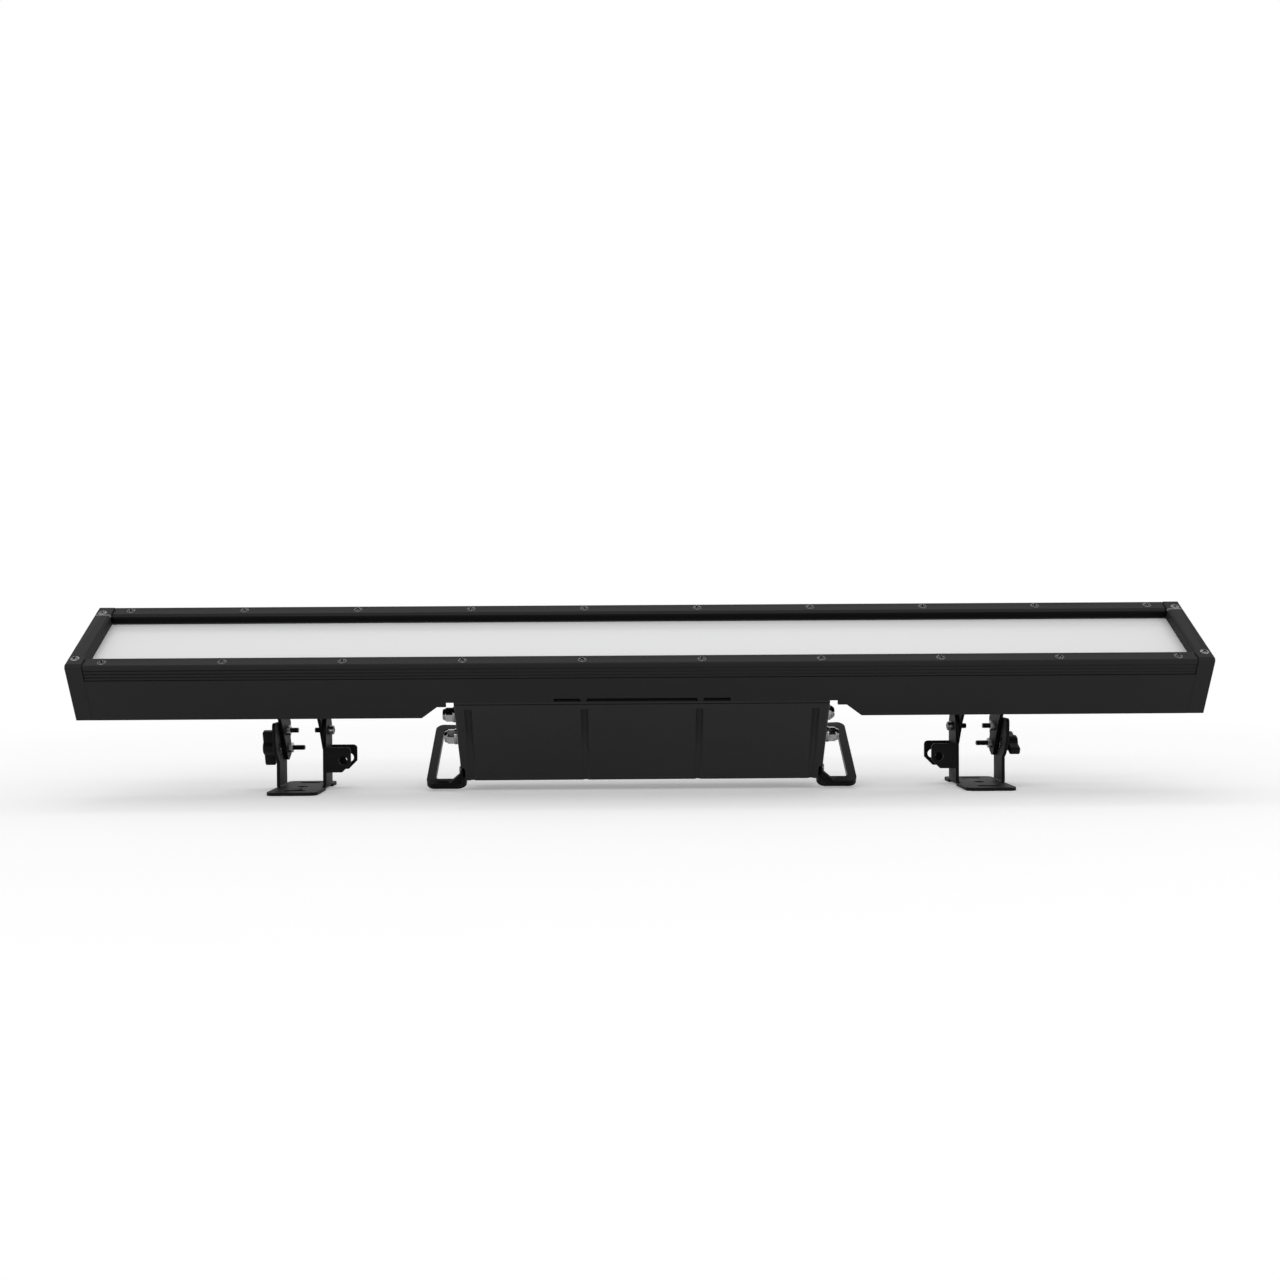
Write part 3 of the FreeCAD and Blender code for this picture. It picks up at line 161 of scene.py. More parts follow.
rearRail = [corner.co for corner in frame["nodes"]["rear_rail"].data.vertices]
railTop = max(corner.dot(lampUp) for corner in rearRail)
wallFront = max(corner.dot(lampFront) for corner in rearRail)  # the rear rail's wall over the window


def drawnBlack(name, look):  # extruded aluminium, anodised black: fine lines run along the lamp; painted shade down the rear rail's inner wall and a painted highlight along its top edge
    finish = newFinish(name)
    lines = finish.noise(finish.place((look["lineLength"], 1, 1)), look["lineScale"], 3.0, 0.6)
    cloud = finish.noise(finish.place(), look["cloudScale"], 2.0)
    grain = finish.noise(finish.place(), look["grainScale"], 1.0)
    share, reach = look["cloudShare"], look["paintedBandReach"]
    tone = finish.blend(cloud * share + lines * (1 - share), look["dark"], look["light"])
    height = finish.along(lampUp)
    front = finish.along(lampFront)
    # a band along the rear rail's inner wall: painted shade on the wall below the rail top, and a painted
    # highlight along the wall's top edge
    paintedWallBand = (front > wallFront - reach) * (front < wallFront + reach)
    tone = finish.blend(paintedWallBand * (height < railTop - reach), tone, look["wall"])
    tone = finish.blend(paintedWallBand * (height > railTop - reach), tone, look["edge"])
    share = look["lineRelief"]
    rough = look["roughness"] + (cloud - 0.5) * look["cloudWander"] + (lines - 0.5) * look["lineWander"]
    skin = finish.bump(lines * share + grain * (1 - share), look["relief"], look["strength"])
    return finish.show(finish.principled(Base_Color=tone, Roughness=rough, Specular_IOR_Level=look["shine"],
                                         Normal=skin))


def powderBlack(name, look):  # powder coat or moulding: a fine orange-peel skin
    finish = newFinish(name)
    skin = finish.noise(finish.place(), look["skinScale"], 2.0, 0.6)
    cloud = finish.noise(finish.place(), look["cloudScale"], 3.0)
    upright = finish.place((1, 1, look["streakLength"]), (-lampTilt, 0, 0))
    streak = finish.noise(upright, look["streakScale"], 2.0)
    tone = finish.blend(cloud * 0.5 + streak * 0.5, look["dark"], look["light"])
    rough = look["roughness"] + (cloud - 0.5) * look["cloudWander"] + (streak - 0.5) * look["streakWander"]
    return finish.show(finish.principled(Base_Color=tone, Roughness=rough, Specular_IOR_Level=look["shine"],
                                         Normal=finish.bump(skin, look["relief"], look["strength"])))


def metalFinish(name, look):  # plated or plain metal with fine turning marks and a painted highlight on its convex corners
    finish = newFinish(name)
    marks = finish.noise(finish.place((1, 0.2, 0.2)), look["markScale"], 3.0, 0.7)
    cloud = finish.noise(finish.place(), look["cloudScale"], 2.0)
    # convex corners and thread crests are lightened towards the edge colour: a painted highlight
    sharpness = finish.node("ShaderNodeNewGeometry", {}, {}, "Pointiness")
    corner = finish.node("ShaderNodeValToRGB", {"stops": look["paintedHighlightStops"]}, {0: sharpness})
    tone = finish.blend(cloud, look["dark"], look["light"])
    tone = finish.blend(corner * look["paintedHighlightShare"], tone, look["edge"])
    return finish.show(finish.principled(Base_Color=tone, Metallic=look["metal"],
                                         Roughness=look["roughness"] + (marks - 0.5) * look["markWander"],
                                         Normal=finish.bump(marks, look["relief"], look["strength"])))


def opalFinish(name, look):  # satin opal acrylic, faintly cloudy along its length
    finish = newFinish(name)
    cloud = finish.noise(finish.place((look["cloudLength"], 1, 1)), look["cloudScale"], 2.0)
    skin = finish.noise(finish.place(), look["skinScale"], 2.0)
    tone = finish.blend(cloud, look["dark"], look["light"])
    rough = look["roughness"] + (skin - 0.5) * look["skinWander"]
    return finish.show(finish.principled(Base_Color=tone, Roughness=rough, Specular_IOR_Level=look["shine"],
                                         Normal=finish.bump(skin, look["relief"], look["strength"])))


def plainFinish(name, look):  # moulded nylon, boards and rubber inside the box
    finish = newFinish(name)
    skin = finish.noise(finish.place(), look["skinScale"], 3.0)
    tone = finish.blend(skin, look["dark"], look["light"])
    rough = look["roughness"] + (skin - 0.5) * look["skinWander"]
    return finish.show(finish.principled(Base_Color=tone, Roughness=rough,
                                         Normal=finish.bump(skin, look["relief"], look["strength"])))


# the wall colour is painted shade on the rear rail's inner wall; the edge colour is a painted highlight along that
# wall's top edge
railLook = {"dark": (0.016, 0.016, 0.0163), "light": (0.024, 0.024, 0.0244), "wall": (0.001, 0.001, 0.001),
            "edge": (0.16, 0.16, 0.16), "paintedBandReach": 0.0011,
            "lineLength": 0.01, "lineScale": 1500, "cloudScale": 9, "cloudShare": 0.6, "grainScale": 5000,
            "lineRelief": 0.7, "cloudWander": 0.10, "lineWander": 0.12,
            "roughness": 0.50, "shine": 0.08, "relief": 0.00004, "strength": 0.35}
caseLook = {"dark": (0.018, 0.018, 0.0183), "light": (0.026, 0.026, 0.0264),
            "skinScale": 2600, "cloudScale": 14, "streakLength": 0.03, "streakScale": 520,
            "cloudWander": 0.12, "streakWander": 0.06,
            "roughness": 0.40, "shine": 0.14, "relief": 0.00005, "strength": 0.35}
handleLook = dict(caseLook, dark=(0.003, 0.003, 0.0032), light=(0.006, 0.006, 0.0062), roughness=0.36,
                  shine=0.07, streakLength=1.0, streakScale=60)
steelLook = dict(caseLook, dark=(0.006, 0.006, 0.0063), light=(0.010, 0.010, 0.0104), roughness=0.55,
                 shine=0.07, streakLength=1.0, streakScale=90)
knobLook = dict(caseLook, dark=(0.008, 0.008, 0.0085), light=(0.012, 0.012, 0.0125), roughness=0.46,
                shine=0.08, streakLength=1.0, skinScale=3800)
# the edge colour is a painted highlight that convex corners take on
darkMetalLook = {"dark": (0.012, 0.012, 0.0125), "light": (0.022, 0.022, 0.0225), "metal": 0.8,
                 "edge": (0.45, 0.45, 0.46), "paintedHighlightShare": 0.7, "paintedHighlightStops": [(0.52, 0.0), (0.62, 1.0)],
                 "roughness": 0.24, "markScale": 2500, "markWander": 0.15, "cloudScale": 200,
                 "relief": 0.00003, "strength": 0.4}
brightMetalLook = dict(darkMetalLook, dark=(0.10, 0.10, 0.105), light=(0.20, 0.20, 0.205), metal=1.0,
                       roughness=0.28)
nickelLook = dict(darkMetalLook, dark=(0.16, 0.158, 0.154), light=(0.26, 0.257, 0.25), metal=1.0,
                  roughness=0.16)
opalLook = {"dark": (0.825, 0.828, 0.830), "light": (0.86, 0.86, 0.86), "cloudLength": 0.4,
            "cloudScale": 6, "skinScale": 1800, "skinWander": 0.08, "roughness": 0.42, "shine": 0.4,
            "relief": 0.00002, "strength": 0.3}


def inside(dark, light, roughness):
    return {"dark": dark, "light": light, "roughness": roughness, "skinScale": 900, "skinWander": 0.2,
            "relief": 0.00004, "strength": 0.5}


finishes = {
    "black_anodised": drawnBlack("anodisedBlack", railLook),
    "black_cast_case": powderBlack("caseBlack", caseLook),
    "black_handle": powderBlack("handleBlack", handleLook),
    "black_steel": powderBlack("steelBlack", steelLook),
    "knob_plastic": powderBlack("knobBlack", knobLook),
    "opal_window": opalFinish("opalAcrylic", opalLook),
    "black_fasteners": metalFinish("blackOxide", darkMetalLook),
    "plain_steel": metalFinish("screwSteel", brightMetalLook),
    "nickel": metalFinish("nickelPlate", nickelLook),
    "bare_aluminium": metalFinish("bareAluminium", dict(nickelLook, roughness=0.4)),
    "ferrite": plainFinish("ferriteGrey", inside((0.05, 0.05, 0.05), (0.09, 0.09, 0.09), 0.6)),
    "black_rubber": plainFinish("sealRubber", inside((0.008, 0.008, 0.008), (0.014, 0.014, 0.014), 0.75)),
    "lead_jacket": plainFinish("leadJacket", inside((0.010, 0.010, 0.010), (0.016, 0.016, 0.016), 0.6)),
    "white_board": plainFinish("whiteBoard", inside((0.72, 0.72, 0.70), (0.78, 0.78, 0.76), 0.4)),
    "green_board": plainFinish("greenBoard", inside((0.015, 0.12, 0.04), (0.03, 0.18, 0.07), 0.35)),
    "led_chips": plainFinish("ledPhosphor", inside((0.80, 0.62, 0.12), (0.85, 0.70, 0.20), 0.3)),
    "white_nylon": plainFinish("whiteNylon", inside((0.65, 0.65, 0.63), (0.74, 0.74, 0.72), 0.5)),
    "terminal_green": plainFinish("terminalGreen", inside((0.03, 0.22, 0.08), (0.04, 0.28, 0.10), 0.45)),
    "capacitor_sleeve": plainFinish("capacitorSleeve",
                                    inside((0.02, 0.025, 0.05), (0.03, 0.035, 0.07), 0.35)),
}
nodeSlots = {row["node"]: row["material_slot"] for row in frame["record"]["subparts"]}
for nodeName, nodeObject in frame["nodes"].items():
    nodeObject.data.materials.clear()
    nodeObject.data.materials.append(finishes[nodeSlots[nodeName]])
bodies = frame["record"]["behaviour"]["bodies"]
bodyOf = {node: body for body, members in bodies.items() for node in members}
print("finishes made")


# Mesh helpers

weldDistance = 1e-6
quarterTurn = math.pi / 2


def keepPiece(name, mesh, *stoodFor, smoothAngle=35):
    mesh.name = name
    for polygon in mesh.polygons:
        polygon.use_smooth = True
    mesh.set_sharp_from_angle(angle=math.radians(smoothAngle))
    mesh.materials.clear()
    slotName = nodeSlots[stoodFor[0]]
    mesh.materials.append(finishes[slotName])
    piece = bpy.data.objects.new(name, mesh)
    bpy.context.scene.collection.objects.link(piece)
    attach(piece, bodyOf[stoodFor[0]])
    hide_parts(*stoodFor)
    return piece


def asMesh(shape):
    bmesh.ops.recalc_face_normals(shape, faces=shape.faces)
    mesh = bpy.data.meshes.new("shape")
    shape.to_mesh(mesh)
    shape.free()
    return mesh


def turned(profile, steps):  # (radius, height) points from the axis round to the axis, or a closed ring
    shape = bmesh.new()
    corners = [shape.verts.new((radius, 0, height)) for radius, height in profile]
    edges = [shape.edges.new(pair) for pair in zip(corners, corners[1:])]
    if profile[0][0] > 0:
        edges.append(shape.edges.new((corners[-1], corners[0])))
    bmesh.ops.spin(shape, geom=corners + edges, cent=(0, 0, 0), axis=(0, 0, 1), angle=math.tau,
                   steps=steps, use_merge=True)
    bmesh.ops.remove_doubles(shape, verts=shape.verts, dist=weldDistance)
    return asMesh(shape)


def carved(mesh, cutters, operation="DIFFERENCE"):
    body = bpy.data.objects.new("blank", mesh)
    tools = [bpy.data.objects.new("cutter", cutter) for cutter in cutters]
    for item in [body] + tools:
        bpy.context.scene.collection.objects.link(item)
    for tool in tools:
        cut = body.modifiers.new("cut", "BOOLEAN")
        cut.operation = operation
        cut.solver = "EXACT"
        cut.object = tool
    result = bpy.data.meshes.new_from_object(body.evaluated_get(bpy.context.evaluated_depsgraph_get()))
    for item in [body] + tools:
        bpy.data.objects.remove(item)
    return result


def bar(length, width, depth, narrow=1.0, top=0.0002):  # a tapered cutter that hangs below z = 0
    shape = bmesh.new()
    bmesh.ops.create_cube(shape, size=1)
    for corner in shape.verts:
        low = corner.co.z < 0
        corner.co.x *= length * (narrow if low else 1)
        corner.co.y *= width * (narrow if low else 1)
        corner.co.z = -depth if low else top
    return asMesh(shape)


def prism(sides, across, height, chamfer):  # standing on z = 0, with its corners knocked off
    shape = bmesh.new()
    radius = across / 2 / math.cos(math.pi / sides)
    bmesh.ops.create_cone(shape, cap_ends=True, segments=sides, radius1=radius, radius2=radius, depth=height)
    bmesh.ops.rotate(shape, verts=shape.verts, cent=(0, 0, 0),
                     matrix=Matrix.Rotation(math.pi / sides, 3, "Z"))
    bmesh.ops.translate(shape, verts=shape.verts, vec=(0, 0, height / 2))
    flat = across / 2 + chamfer * 0.3
    wide = radius + chamfer
    rounding = turned([(0, 0), (flat, 0), (wide, chamfer), (wide, height - chamfer), (flat, height),
                       (0, height)], 48)
    return carved(asMesh(shape), [rounding], "INTERSECT")


def solidsOf(node):  # the points of each separate solid of a CAD node
    shape = bmesh.new()
    shape.from_mesh(frame["nodes"][node].data)
    bmesh.ops.remove_doubles(shape, verts=shape.verts, dist=weldDistance)
    left = set(shape.verts)
    found = []
    while left:
        group = [left.pop()]
        for corner in group:
            for edge in corner.link_edges:
                other = edge.other_vert(corner)
                if other in left:
                    left.remove(other)
                    group.append(other)
        found.append([corner.co.copy() for corner in group])
    shape.free()
    return found


def standing(points, axis):  # a place at the far end of the solid along axis, and the solid's size there
    turn = axis.to_track_quat("Z", "Y").to_matrix()
    local = [turn.transposed() @ point for point in points]
    low = Vector([min(point[i] for point in local) for i in range(3)])
    high = Vector([max(point[i] for point in local) for i in range(3)])
    end = turn @ Vector(((low.x + high.x) / 2, (low.y + high.y) / 2, high.z))
    return Matrix.Translation(end) @ turn.to_4x4(), high - low


def assembled(parts):  # joins (mesh, place) pairs into one mesh
    shape = bmesh.new()
    for mesh, place in parts:
        before = len(shape.verts)
        shape.from_mesh(mesh)
        shape.verts.ensure_lookup_table()
        bmesh.ops.transform(shape, matrix=place, verts=shape.verts[before:])
    mesh = bpy.data.meshes.new("shape")
    shape.to_mesh(mesh)
    shape.free()
    return mesh


# Folded, cast and extruded pieces: the CAD shape with its sharp edges broken

softEdges = {
    "body_channel": 0.00025, "front_rail": 0.00040, "rear_rail": 0.00080,
    "end_cap_left": 0.00035, "end_cap_right": 0.00035, "driver_case": 0.00050, "driver_lid": 0.00030,
    "handle_left": 0.00090, "handle_right": 0.00090, "hanger_left": 0.00040, "hanger_right": 0.00040,
    "bracket_left": 0.00040, "bracket_right": 0.00040,
}
foldLook = {"flatAngle": math.radians(0.5), "sharpAngle": math.radians(24), "shortest": 2.2}


def softened(node, width):
    shape = bmesh.new()
    shape.from_mesh(frame["nodes"][node].data)
    bmesh.ops.remove_doubles(shape, verts=shape.verts, dist=weldDistance)
    bmesh.ops.dissolve_limit(shape, angle_limit=foldLook["flatAngle"], verts=shape.verts, edges=shape.edges)
    weight = shape.edges.layers.float.new("bevel_weight_edge")
    for edge in shape.edges:
        sharp = edge.is_manifold and edge.calc_face_angle() > foldLook["sharpAngle"]
        if sharp and edge.calc_length() > width * foldLook["shortest"]:
            edge[weight] = 1.0
    mesh = bpy.data.meshes.new(node + "Soft")
    shape.to_mesh(mesh)
    shape.free()
    piece = keepPiece(node + "Soft", mesh, node)
    bevel = piece.modifiers.new("edges", "BEVEL")
    bevel.limit_method = "WEIGHT"
    bevel.width = width
    bevel.segments = 2
    bevel.use_clamp_overlap = False
    bevel.harden_normals = True


for nodeName, width in softEdges.items():
    softened(nodeName, width)
print("edges softened")


# Cross-head screws of the rails and end caps

screwLook = {"broad": 1.12, "dome": 0.0011, "curve": [(0.35, 0.93), (0.7, 0.62), (0.93, 0.25)], "rim": 0.0003,
             "shank": 0.52, "tip": 0.0006, "tipRadius": 0.7, "crossReach": 0.74, "crossWidth": 0.24,
             "crossDepth": 0.0022, "crossNarrow": 0.45, "steps": 24, "firstTwist": 0.35, "twist": 0.9}


def crossScrew(headRadius, length):
    dome = screwLook["dome"]
    shank = headRadius * screwLook["shank"]
    curve = [(headRadius * out, dome * high) for out, high in screwLook["curve"]]
    head = turned([(0, dome)] + curve + [
        (headRadius, 0), (headRadius, -screwLook["rim"]), (shank, shank - headRadius),
        (shank, -length + screwLook["tip"]), (shank * screwLook["tipRadius"], -length), (0, -length)],
        screwLook["steps"])
    reach = headRadius * 2 * screwLook["crossReach"]
    width = headRadius * 2 * screwLook["crossWidth"]
    arms = [bar(reach, width, screwLook["crossDepth"], screwLook["crossNarrow"], 0.002) for _ in range(2)]
    arms[1].transform(Matrix.Rotation(quarterTurn, 4, "Z"))
    return carved(head, arms)


def putScrews(name, node, axes):
    parts = []
    shapes = {}
    for number, points in enumerate(solidsOf(node)):
        axis = axes(points)
        place, size = standing(points, axis)
        key = (round(size.x, 5), round(size.z, 5))
        if key not in shapes:
            shapes[key] = crossScrew(size.x / 2 * screwLook["broad"], size.z)
        stop = screwLook["firstTwist"] + screwLook["twist"] * number  # each stopped where it was tight
        parts.append((shapes[key], place @ Matrix.Rotation(stop, 4, "Z")))
    keepPiece(name, assembled(parts), node)


def outward(points):
    middle = sum((point.x for point in points)) / len(points)
    return alongLamp if middle > 0 else -alongLamp


putScrews("frontRailScrews", "front_rail_screws", lambda points: lampUp)
putScrews("rearRailScrews", "rear_rail_screws", lambda points: lampUp)
putScrews("capTopScrews", "end_cap_top_screws", lambda points: lampUp)
putScrews("capFaceScrews", "end_cap_face_screws", outward)
print("screws made")


# Socket screws, bolts, studs, nuts and washers

def threadProfile(radius, top, bottom, pitch=0.0008, depth=0.00035):
    count = max(1, int((top - bottom) / pitch))
    step = (top - bottom) / count
    points = []
    for i in range(count):
        points.append((radius - depth, top - step * i))
        points.append((radius, top - step * (i + 0.5)))
    points.append((radius - depth, bottom))
    return points


def socketScrew(headRadius, head, shank, length, across, sink):  # the head stands on z = 0
    soft = headRadius * 0.16
    under = 0.0002
    profile = [(0, head), (headRadius - soft * 2, head), (headRadius - soft * 0.6, head - soft * 0.5),
               (headRadius, head - soft * 1.6), (headRadius, under), (headRadius - under, 0), (shank, 0)]
    profile += threadProfile(shank, -0.001, -length + 0.0004)[1:]
    profile.append((0, -length))
    socket = prism(6, across, sink + 0.0002, 0.0001)
    socket.transform(Matrix.Translation((0, 0, head - sink)))
    return carved(turned(profile, 32), [socket])


def nut(across, height, bore):
    blank = prism(6, across, height, 0.0003)
    hole = turned([(0, height + 0.001), (bore, height + 0.001), (bore, -0.001), (0, -0.001)], 24)
    return carved(blank, [hole])


def headTowards(points, axis):  # which way along axis the wider end lies
    place, size = standing(points, axis)
    near = place.translation
    far = near - axis * size.z

    def reach(end):
        arms = [point - end for point in points if abs((point - end).dot(axis)) < 1e-4]
        return max((arm - axis * arm.dot(axis)).length for arm in arms)

    return axis if reach(near) > reach(far) else -axis


def headHeight(points, axis, place, shank):  # from the top of the head to the first ring of the shank's size
    ends = sorted({round(point.dot(axis), 5) for point in points})
    for end in ends[:-1]:
        ring = [abs(point.z - place.translation.z) for point in points if abs(point.dot(axis) - end) < 2e-5]
        if end < ends[-1] - 0.001 and max(ring) > shank * 1.3:
            return ends[-1] - end
    return 0


boltLook = {"shank": 0.0025, "play": 0.00002, "socketAcross": 0.004, "socketDepth": 0.0024}
parts = []
for points in solidsOf("pivot_bolts"):
    axis = headTowards(points, alongLamp)
    place, size = standing(points, axis)
    head = headHeight(points, axis, place, boltLook["shank"])
    shape = socketScrew(size.x / 2, head, boltLook["shank"] - boltLook["play"], size.z - head,
                        boltLook["socketAcross"], min(boltLook["socketDepth"], head * 0.6))
    parts.append((shape, place @ Matrix.Translation((0, 0, -head))))
keepPiece("pivotBolts", assembled(parts), "pivot_bolts")

panLook = {"head": 0.0022, "shank": 0.00195, "socketAcross": 0.0025, "socketDepth": 0.0013}
parts = []
for points in solidsOf("handle_screws"):
    place, size = standing(points, outward(points))
    shape = socketScrew(size.x / 2, panLook["head"], panLook["shank"], size.z - panLook["head"],
                        panLook["socketAcross"], panLook["socketDepth"])
    parts.append((shape, place @ Matrix.Translation((0, 0, -panLook["head"]))))
keepPiece("handleScrews", assembled(parts), "handle_screws")

for name, node in (("pivotNuts", "pivot_nuts"), ("studNuts", "stud_nuts")):
    parts = []
    for points in solidsOf(node):
        place, size = standing(points, outward(points))
        shape = nut(min(size.x, size.y), size.z, boltLook["shank"] + 0.00003)
        flip = Matrix.Rotation(quarterTurn if size.y > size.x else 0, 4, "Z")
        parts.append((shape, place @ Matrix.Translation((0, 0, -size.z)) @ flip))
    keepPiece(name, assembled(parts), node)

washerLook = {"play": 0.0001, "soft": 0.00012}
for side, sign in sides.items():
    stud = solidsOf("knob_stud_" + side)[0]
    place, size = standing(stud, alongLamp * sign)
    radius = size.x / 2 - boltLook["play"]
    profile = [(0, 0)] + threadProfile(radius, -0.0002, -size.z + 0.0006)
    profile += [(radius * 0.6, -size.z), (0, -size.z)]
    keepPiece("knobStud." + side, assembled([(turned(profile, 28), place)]), "knob_stud_" + side)
    washer = solidsOf("knob_washer_" + side)[0]
    place, size = standing(washer, alongLamp * sign)
    outer = size.x / 2
    inner = radius + washerLook["play"]
    soft = washerLook["soft"]
    ring = [(outer - soft, 0), (outer, -soft), (outer, -size.z + soft), (outer - soft, -size.z),
            (inner + soft, -size.z), (inner, -size.z + soft), (inner, -soft), (inner + soft, 0)]
    keepPiece("knobWasher." + side, assembled([(turned(ring, 40), place)]), "knob_washer_" + side)
print("bolts, nuts and studs made")


# Wing knobs

knobSizes = {"hubRadius": 0.0075, "height": 0.016, "length": 0.034, "lean": {"left": 20, "right": 115},
             "wingBase": 0.006, "wingWidth": 0.007, "corner": 0.0016, "boreDepth": 0.0032}


def wingKnob():
    height, base = knobSizes["height"], knobSizes["wingBase"]
    wing = bmesh.new()
    bmesh.ops.create_cube(wing, size=1)
    bmesh.ops.scale(wing, verts=wing.verts, vec=(knobSizes["wingWidth"], knobSizes["length"], height - base))
    bmesh.ops.translate(wing, verts=wing.verts, vec=(0, 0, (height + base) / 2))
    bmesh.ops.bevel(wing, geom=wing.edges, offset=knobSizes["corner"], offset_type="OFFSET", segments=4,
                    profile=0.5, affect="EDGES", clamp_overlap=True, material=-1)
    radius = knobSizes["hubRadius"]
    hub = turned([(0, 0), (radius - 0.0004, 0), (radius, 0.0004), (radius - 0.0003, height - 0.0010),
                  (radius - 0.0007, height - 0.0003), (radius - 0.0014, height + 0.0002),
                  (0, height + 0.0004)], 48)
    bore = boltLook["shank"]
    deep = knobSizes["boreDepth"]
    hollow = turned([(0, deep), (bore, deep), (bore, -0.001), (0, -0.001)], 28)
    return carved(carved(asMesh(wing), [hub], "UNION"), [hollow])


for side, sign in sides.items():
    node = "knob_" + side
    points = [point for solid in solidsOf(node) for point in solid]
    axis = alongLamp * sign
    hinge = next(joint for joint in frame["joints"] if joint["child"] == side + "_knob")
    centre = Vector(hinge["pos_m"])
    seat = min(point.dot(axis) for point in points)
    lean = math.radians(knobSizes["lean"][side])
    wing = Vector((0, -math.sin(lean), math.cos(lean)))
    turn = Matrix((wing.cross(axis), wing, axis)).transposed().to_4x4()
    place = Matrix.Translation((seat * sign, centre.y, centre.z)) @ turn
    keepPiece("wingKnob." + side, assembled([(wingKnob(), place)]), node, smoothAngle=40)
print("knobs made")


# Cable glands and the vent

glandLook = {"flangeRadius": 0.0072, "flange": 0.0030, "threadRadius": 0.0040, "pitch": 0.001, "bore": 0.0029,
             "soft": 0.0003, "groove": [0.55, 0.62, 0.75, 0.82]}
capNutLook = {"hexShare": 2 / 3, "chamfer": 0.0005, "nose": 0.0048, "boreGap": 0.0006}
sealLook = {"bore": 0.0020, "play": 0.0002, "soft": 0.0004, "lip": 0.0006}
ventLook = {"cap": 0.0036, "capRadius": 0.0062, "topRadius": 0.0040, "shoulder": 0.0047,
            "slotWidth": 0.0009, "slotDepth": 0.0007}


def glandBody(size):
    radius, flange, thread = (glandLook[key] for key in ("flangeRadius", "flange", "threadRadius"))
    bore, soft = glandLook["bore"], glandLook["soft"]
    top, low, lowEnd, end = (-flange * share for share in glandLook["groove"])
    profile = [(bore, 0), (radius - soft, 0), (radius, -soft), (radius, top), (radius - soft, low),
               (radius - soft, lowEnd), (radius, end), (radius, -flange - 0.0005), (thread, -flange - 0.0006)]
    profile += threadProfile(thread, -flange - 0.001, -size.z, glandLook["pitch"])[1:]
    profile.append((bore, -size.z))
    return turned(profile, 40)


def capNut(size):
    across = min(size.x, size.y)
    hexHeight = size.z * capNutLook["hexShare"]
    nose = capNutLook["nose"]
    bore = glandLook["bore"] + capNutLook["boreGap"]
    collar = across / 2 - 0.0003
    blank = prism(6, across, hexHeight, capNutLook["chamfer"])
    dome = turned([(0, hexHeight - 0.001), (collar, hexHeight - 0.001), (collar, hexHeight + 0.0004),
                   (across / 2 - 0.0009, hexHeight + 0.0012), (nose + 0.0004, size.z - 0.0008),
                   (nose - 0.0002, size.z), (0, size.z)], 48)
    mouth = bore + capNutLook["boreGap"]
    hole = turned([(0, size.z + 0.001), (mouth, size.z + 0.001), (bore, size.z - 0.0006), (bore, -0.001),
                   (0, -0.001)], 40)
    return carved(carved(blank, [dome], "UNION"), [hole])


def sealRing(size):
    outer = min(size.x, size.y) / 2 - sealLook["play"]
    bore = sealLook["bore"]
    return turned([(bore, -sealLook["lip"]), (bore + 0.0008, 0), (outer - sealLook["soft"], 0),
                   (outer, -0.0005), (outer, -size.z), (bore, -size.z)], 40)


def ventPlug(size):
    radius, flange, thread = (glandLook[key] for key in ("flangeRadius", "flange", "threadRadius"))
    soft, cap, capRadius = glandLook["soft"], ventLook["cap"], ventLook["capRadius"]
    profile = [(0, 0), (ventLook["topRadius"], 0), (ventLook["shoulder"], -0.0005), (capRadius, -cap * 0.8),
               (capRadius, -cap), (radius - soft, -cap), (radius, -cap - soft),
               (radius, -cap - flange - 0.0005), (thread, -cap - flange - 0.0006)]
    profile += threadProfile(thread, -cap - flange - 0.001, -size.z, glandLook["pitch"])[1:]
    profile.append((0, -size.z))
    slots = [bar(0.02, ventLook["slotWidth"], ventLook["slotDepth"], 1.0, 0.001) for _ in range(2)]
    slots[1].transform(Matrix.Rotation(quarterTurn, 4, "Z"))
    return carved(turned(profile, 40), slots)


def putTurned(name, node, make, standsOnBase=False):
    parts = []
    for points in solidsOf(node):
        place, size = standing(points, outward(points))
        lift = Matrix.Translation((0, 0, -size.z)) if standsOnBase else Matrix.Identity(4)
        parts.append((make(size), place @ lift))
    keepPiece(name, assembled(parts), node)


putTurned("glandBodies", "gland_bodies", glandBody)
putTurned("glandCapNuts", "gland_cap_nuts", capNut, True)
putTurned("glandSealRings", "gland_seals", sealRing)
putTurned("ventPlug", "vent_plug", ventPlug)
print("glands made")


# Camera, light and floor

cameraLook = {"place": (-0.0152, -1.3717, 0.1530), "turn": (89.316, 0.343, -0.604), "lens": 41.66}
camera = bpy.data.objects.new("camera", bpy.data.cameras.new("camera"))
bpy.context.scene.collection.objects.link(camera)
camera.location = cameraLook["place"]
camera.rotation_euler = [math.radians(angle) for angle in cameraLook["turn"]]
camera.data.sensor_width = 36
camera.data.lens = cameraLook["lens"]
camera.data.clip_start = 0.01
bpy.context.scene.camera = camera

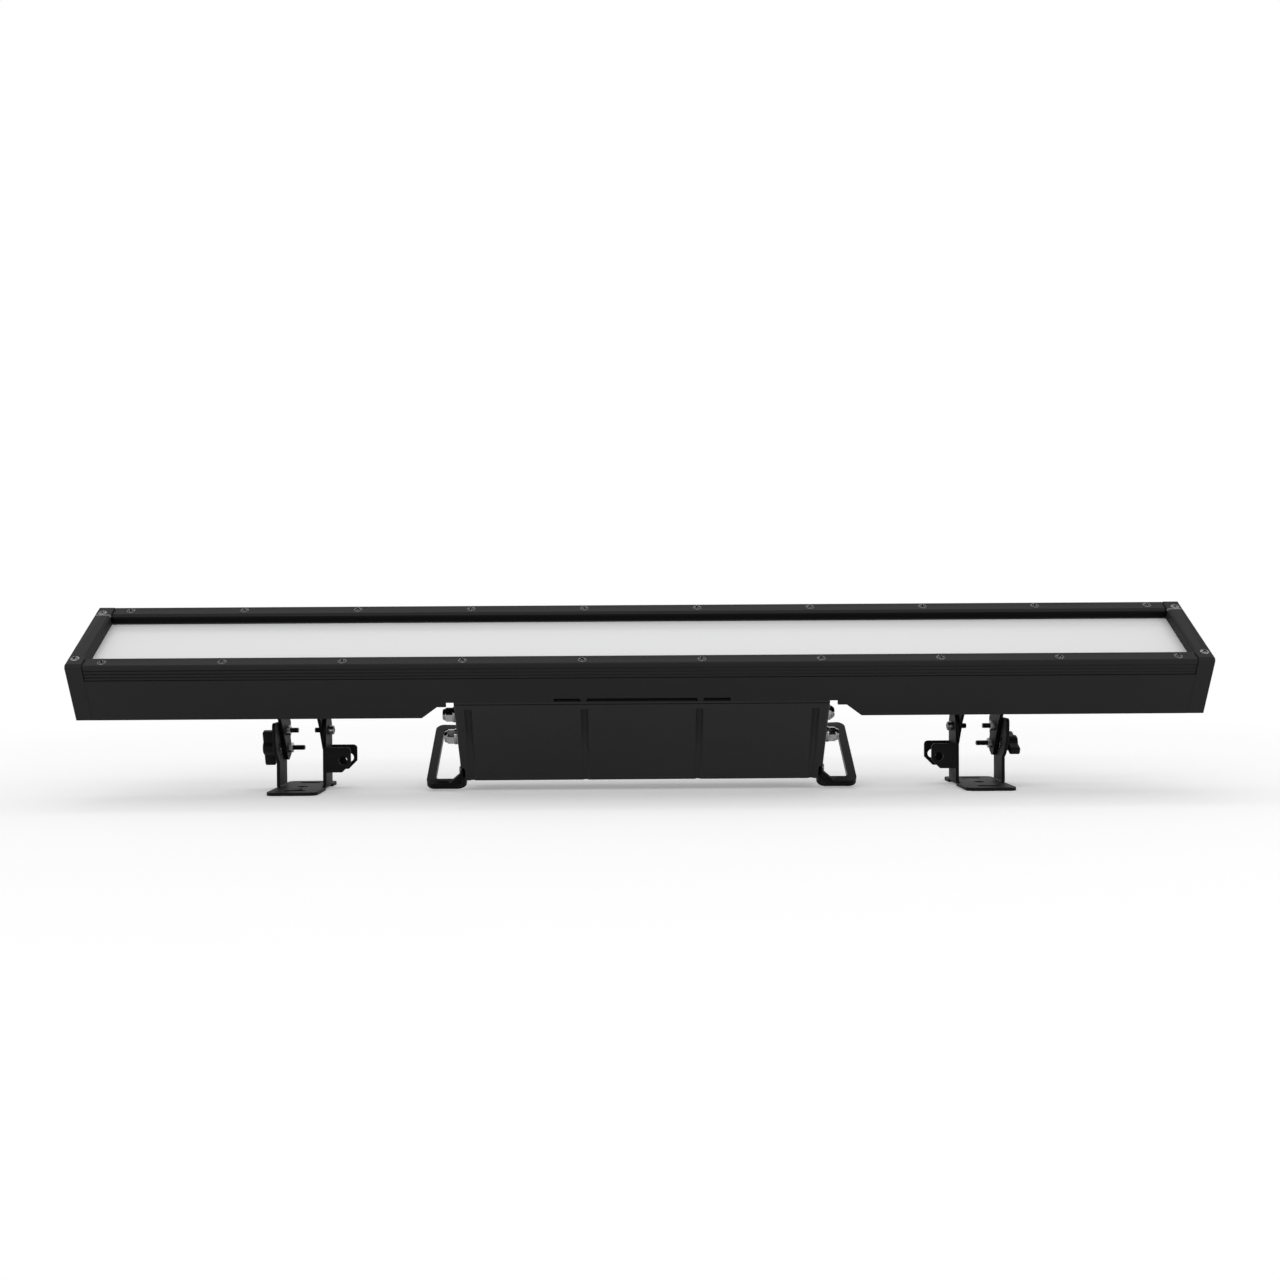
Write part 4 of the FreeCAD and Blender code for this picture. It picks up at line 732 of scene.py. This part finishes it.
lampsLook = {
    "topStrip": {"place": (-0.2, 1.3, 2.3), "aim": (0, 0, 0.1), "size": (2.6, 0.35), "power": 6},
    "frontStrip": {"place": (-0.2, -2.2, 1.45), "aim": (0, 0, 0.1), "size": (3.0, 0.22), "power": 9},
    "rightStrip": {"place": (1.9, -1.0, 1.3), "aim": (0, 0, 0.1), "size": (0.3, 0.9), "power": 3},
}
for name, look in lampsLook.items():
    lamp = bpy.data.lights.new(name, "AREA")
    lamp.shape = "RECTANGLE"
    lamp.size, lamp.size_y = look["size"]
    lamp.energy = look["power"]
    lampObject = bpy.data.objects.new(name, lamp)
    bpy.context.scene.collection.objects.link(lampObject)
    lampObject.location = look["place"]
    back = Vector(look["place"]) - Vector(look["aim"])
    lampObject.rotation_euler = back.to_track_quat("Z", "Y").to_euler()

stageLook = {"ambient": 0.70, "floorColour": (0.92, 0.92, 0.92), "floorLift": 0.20, "floorSize": 60,
             "whiteFrom": 0.62, "whiteTo": 1.3}


def seenDirectly(finish):
    def ray(kind):
        return finish.node("ShaderNodeLightPath", {}, {}, kind)

    return (ray("Is Camera Ray") + ray("Is Glossy Ray") + ray("Is Transmission Ray")) > 0.5


world = bpy.data.worlds.new("studio")
bpy.context.scene.world = world
studio = Finish(world, "ShaderNodeOutputWorld")
strength = seenDirectly(studio) * (1 - stageLook["ambient"]) + stageLook["ambient"]
studio.show(studio.node("ShaderNodeBackground", {}, {"Color": (1, 1, 1, 1), "Strength": strength}))

floorFinish = newFinish("paleFloor")
paint = floorFinish.noise(floorFinish.place(), 30.0, 2.0)
dimmer = [shade - 0.01 for shade in stageLook["floorColour"]]
floorTone = floorFinish.blend(paint, dimmer, stageLook["floorColour"])
direct = seenDirectly(floorFinish)
painted = floorFinish.principled(Base_Color=floorTone, Roughness=0.9, Specular_IOR_Level=0.1,
                                 Emission_Color=(1, 1, 1, 1),
                                 Emission_Strength=direct * stageLook["floorLift"])
spot = floorFinish.node("ShaderNodeTexCoord", {}, {}, "Object")
distance = floorFinish.node("ShaderNodeVectorMath", {"operation": "LENGTH"}, {0: spot}, 1)
fade = floorFinish.node("ShaderNodeMapRange", {"interpolation_type": "SMOOTHSTEP"},
                        {"Value": distance, "From Min": stageLook["whiteFrom"],
                         "From Max": stageLook["whiteTo"]})
glow = direct * (1 - stageLook["ambient"]) + stageLook["ambient"]
white = floorFinish.node("ShaderNodeEmission", {}, {"Strength": glow})
floorFinish.show(floorFinish.node("ShaderNodeMixShader", {}, {0: fade, 1: painted, 2: white}))
floorShape = bmesh.new()
bmesh.ops.create_grid(floorShape, x_segments=2, y_segments=2, size=stageLook["floorSize"] / 2)
floorMesh = asMesh(floorShape)
floorMesh.materials.append(floorFinish.material)
floor = bpy.data.objects.new("floor", floorMesh)
floor.location.z = cadLow.z
bpy.context.scene.collection.objects.link(floor)
bpy.context.scene.view_settings.view_transform = "Standard"

print("stage set")
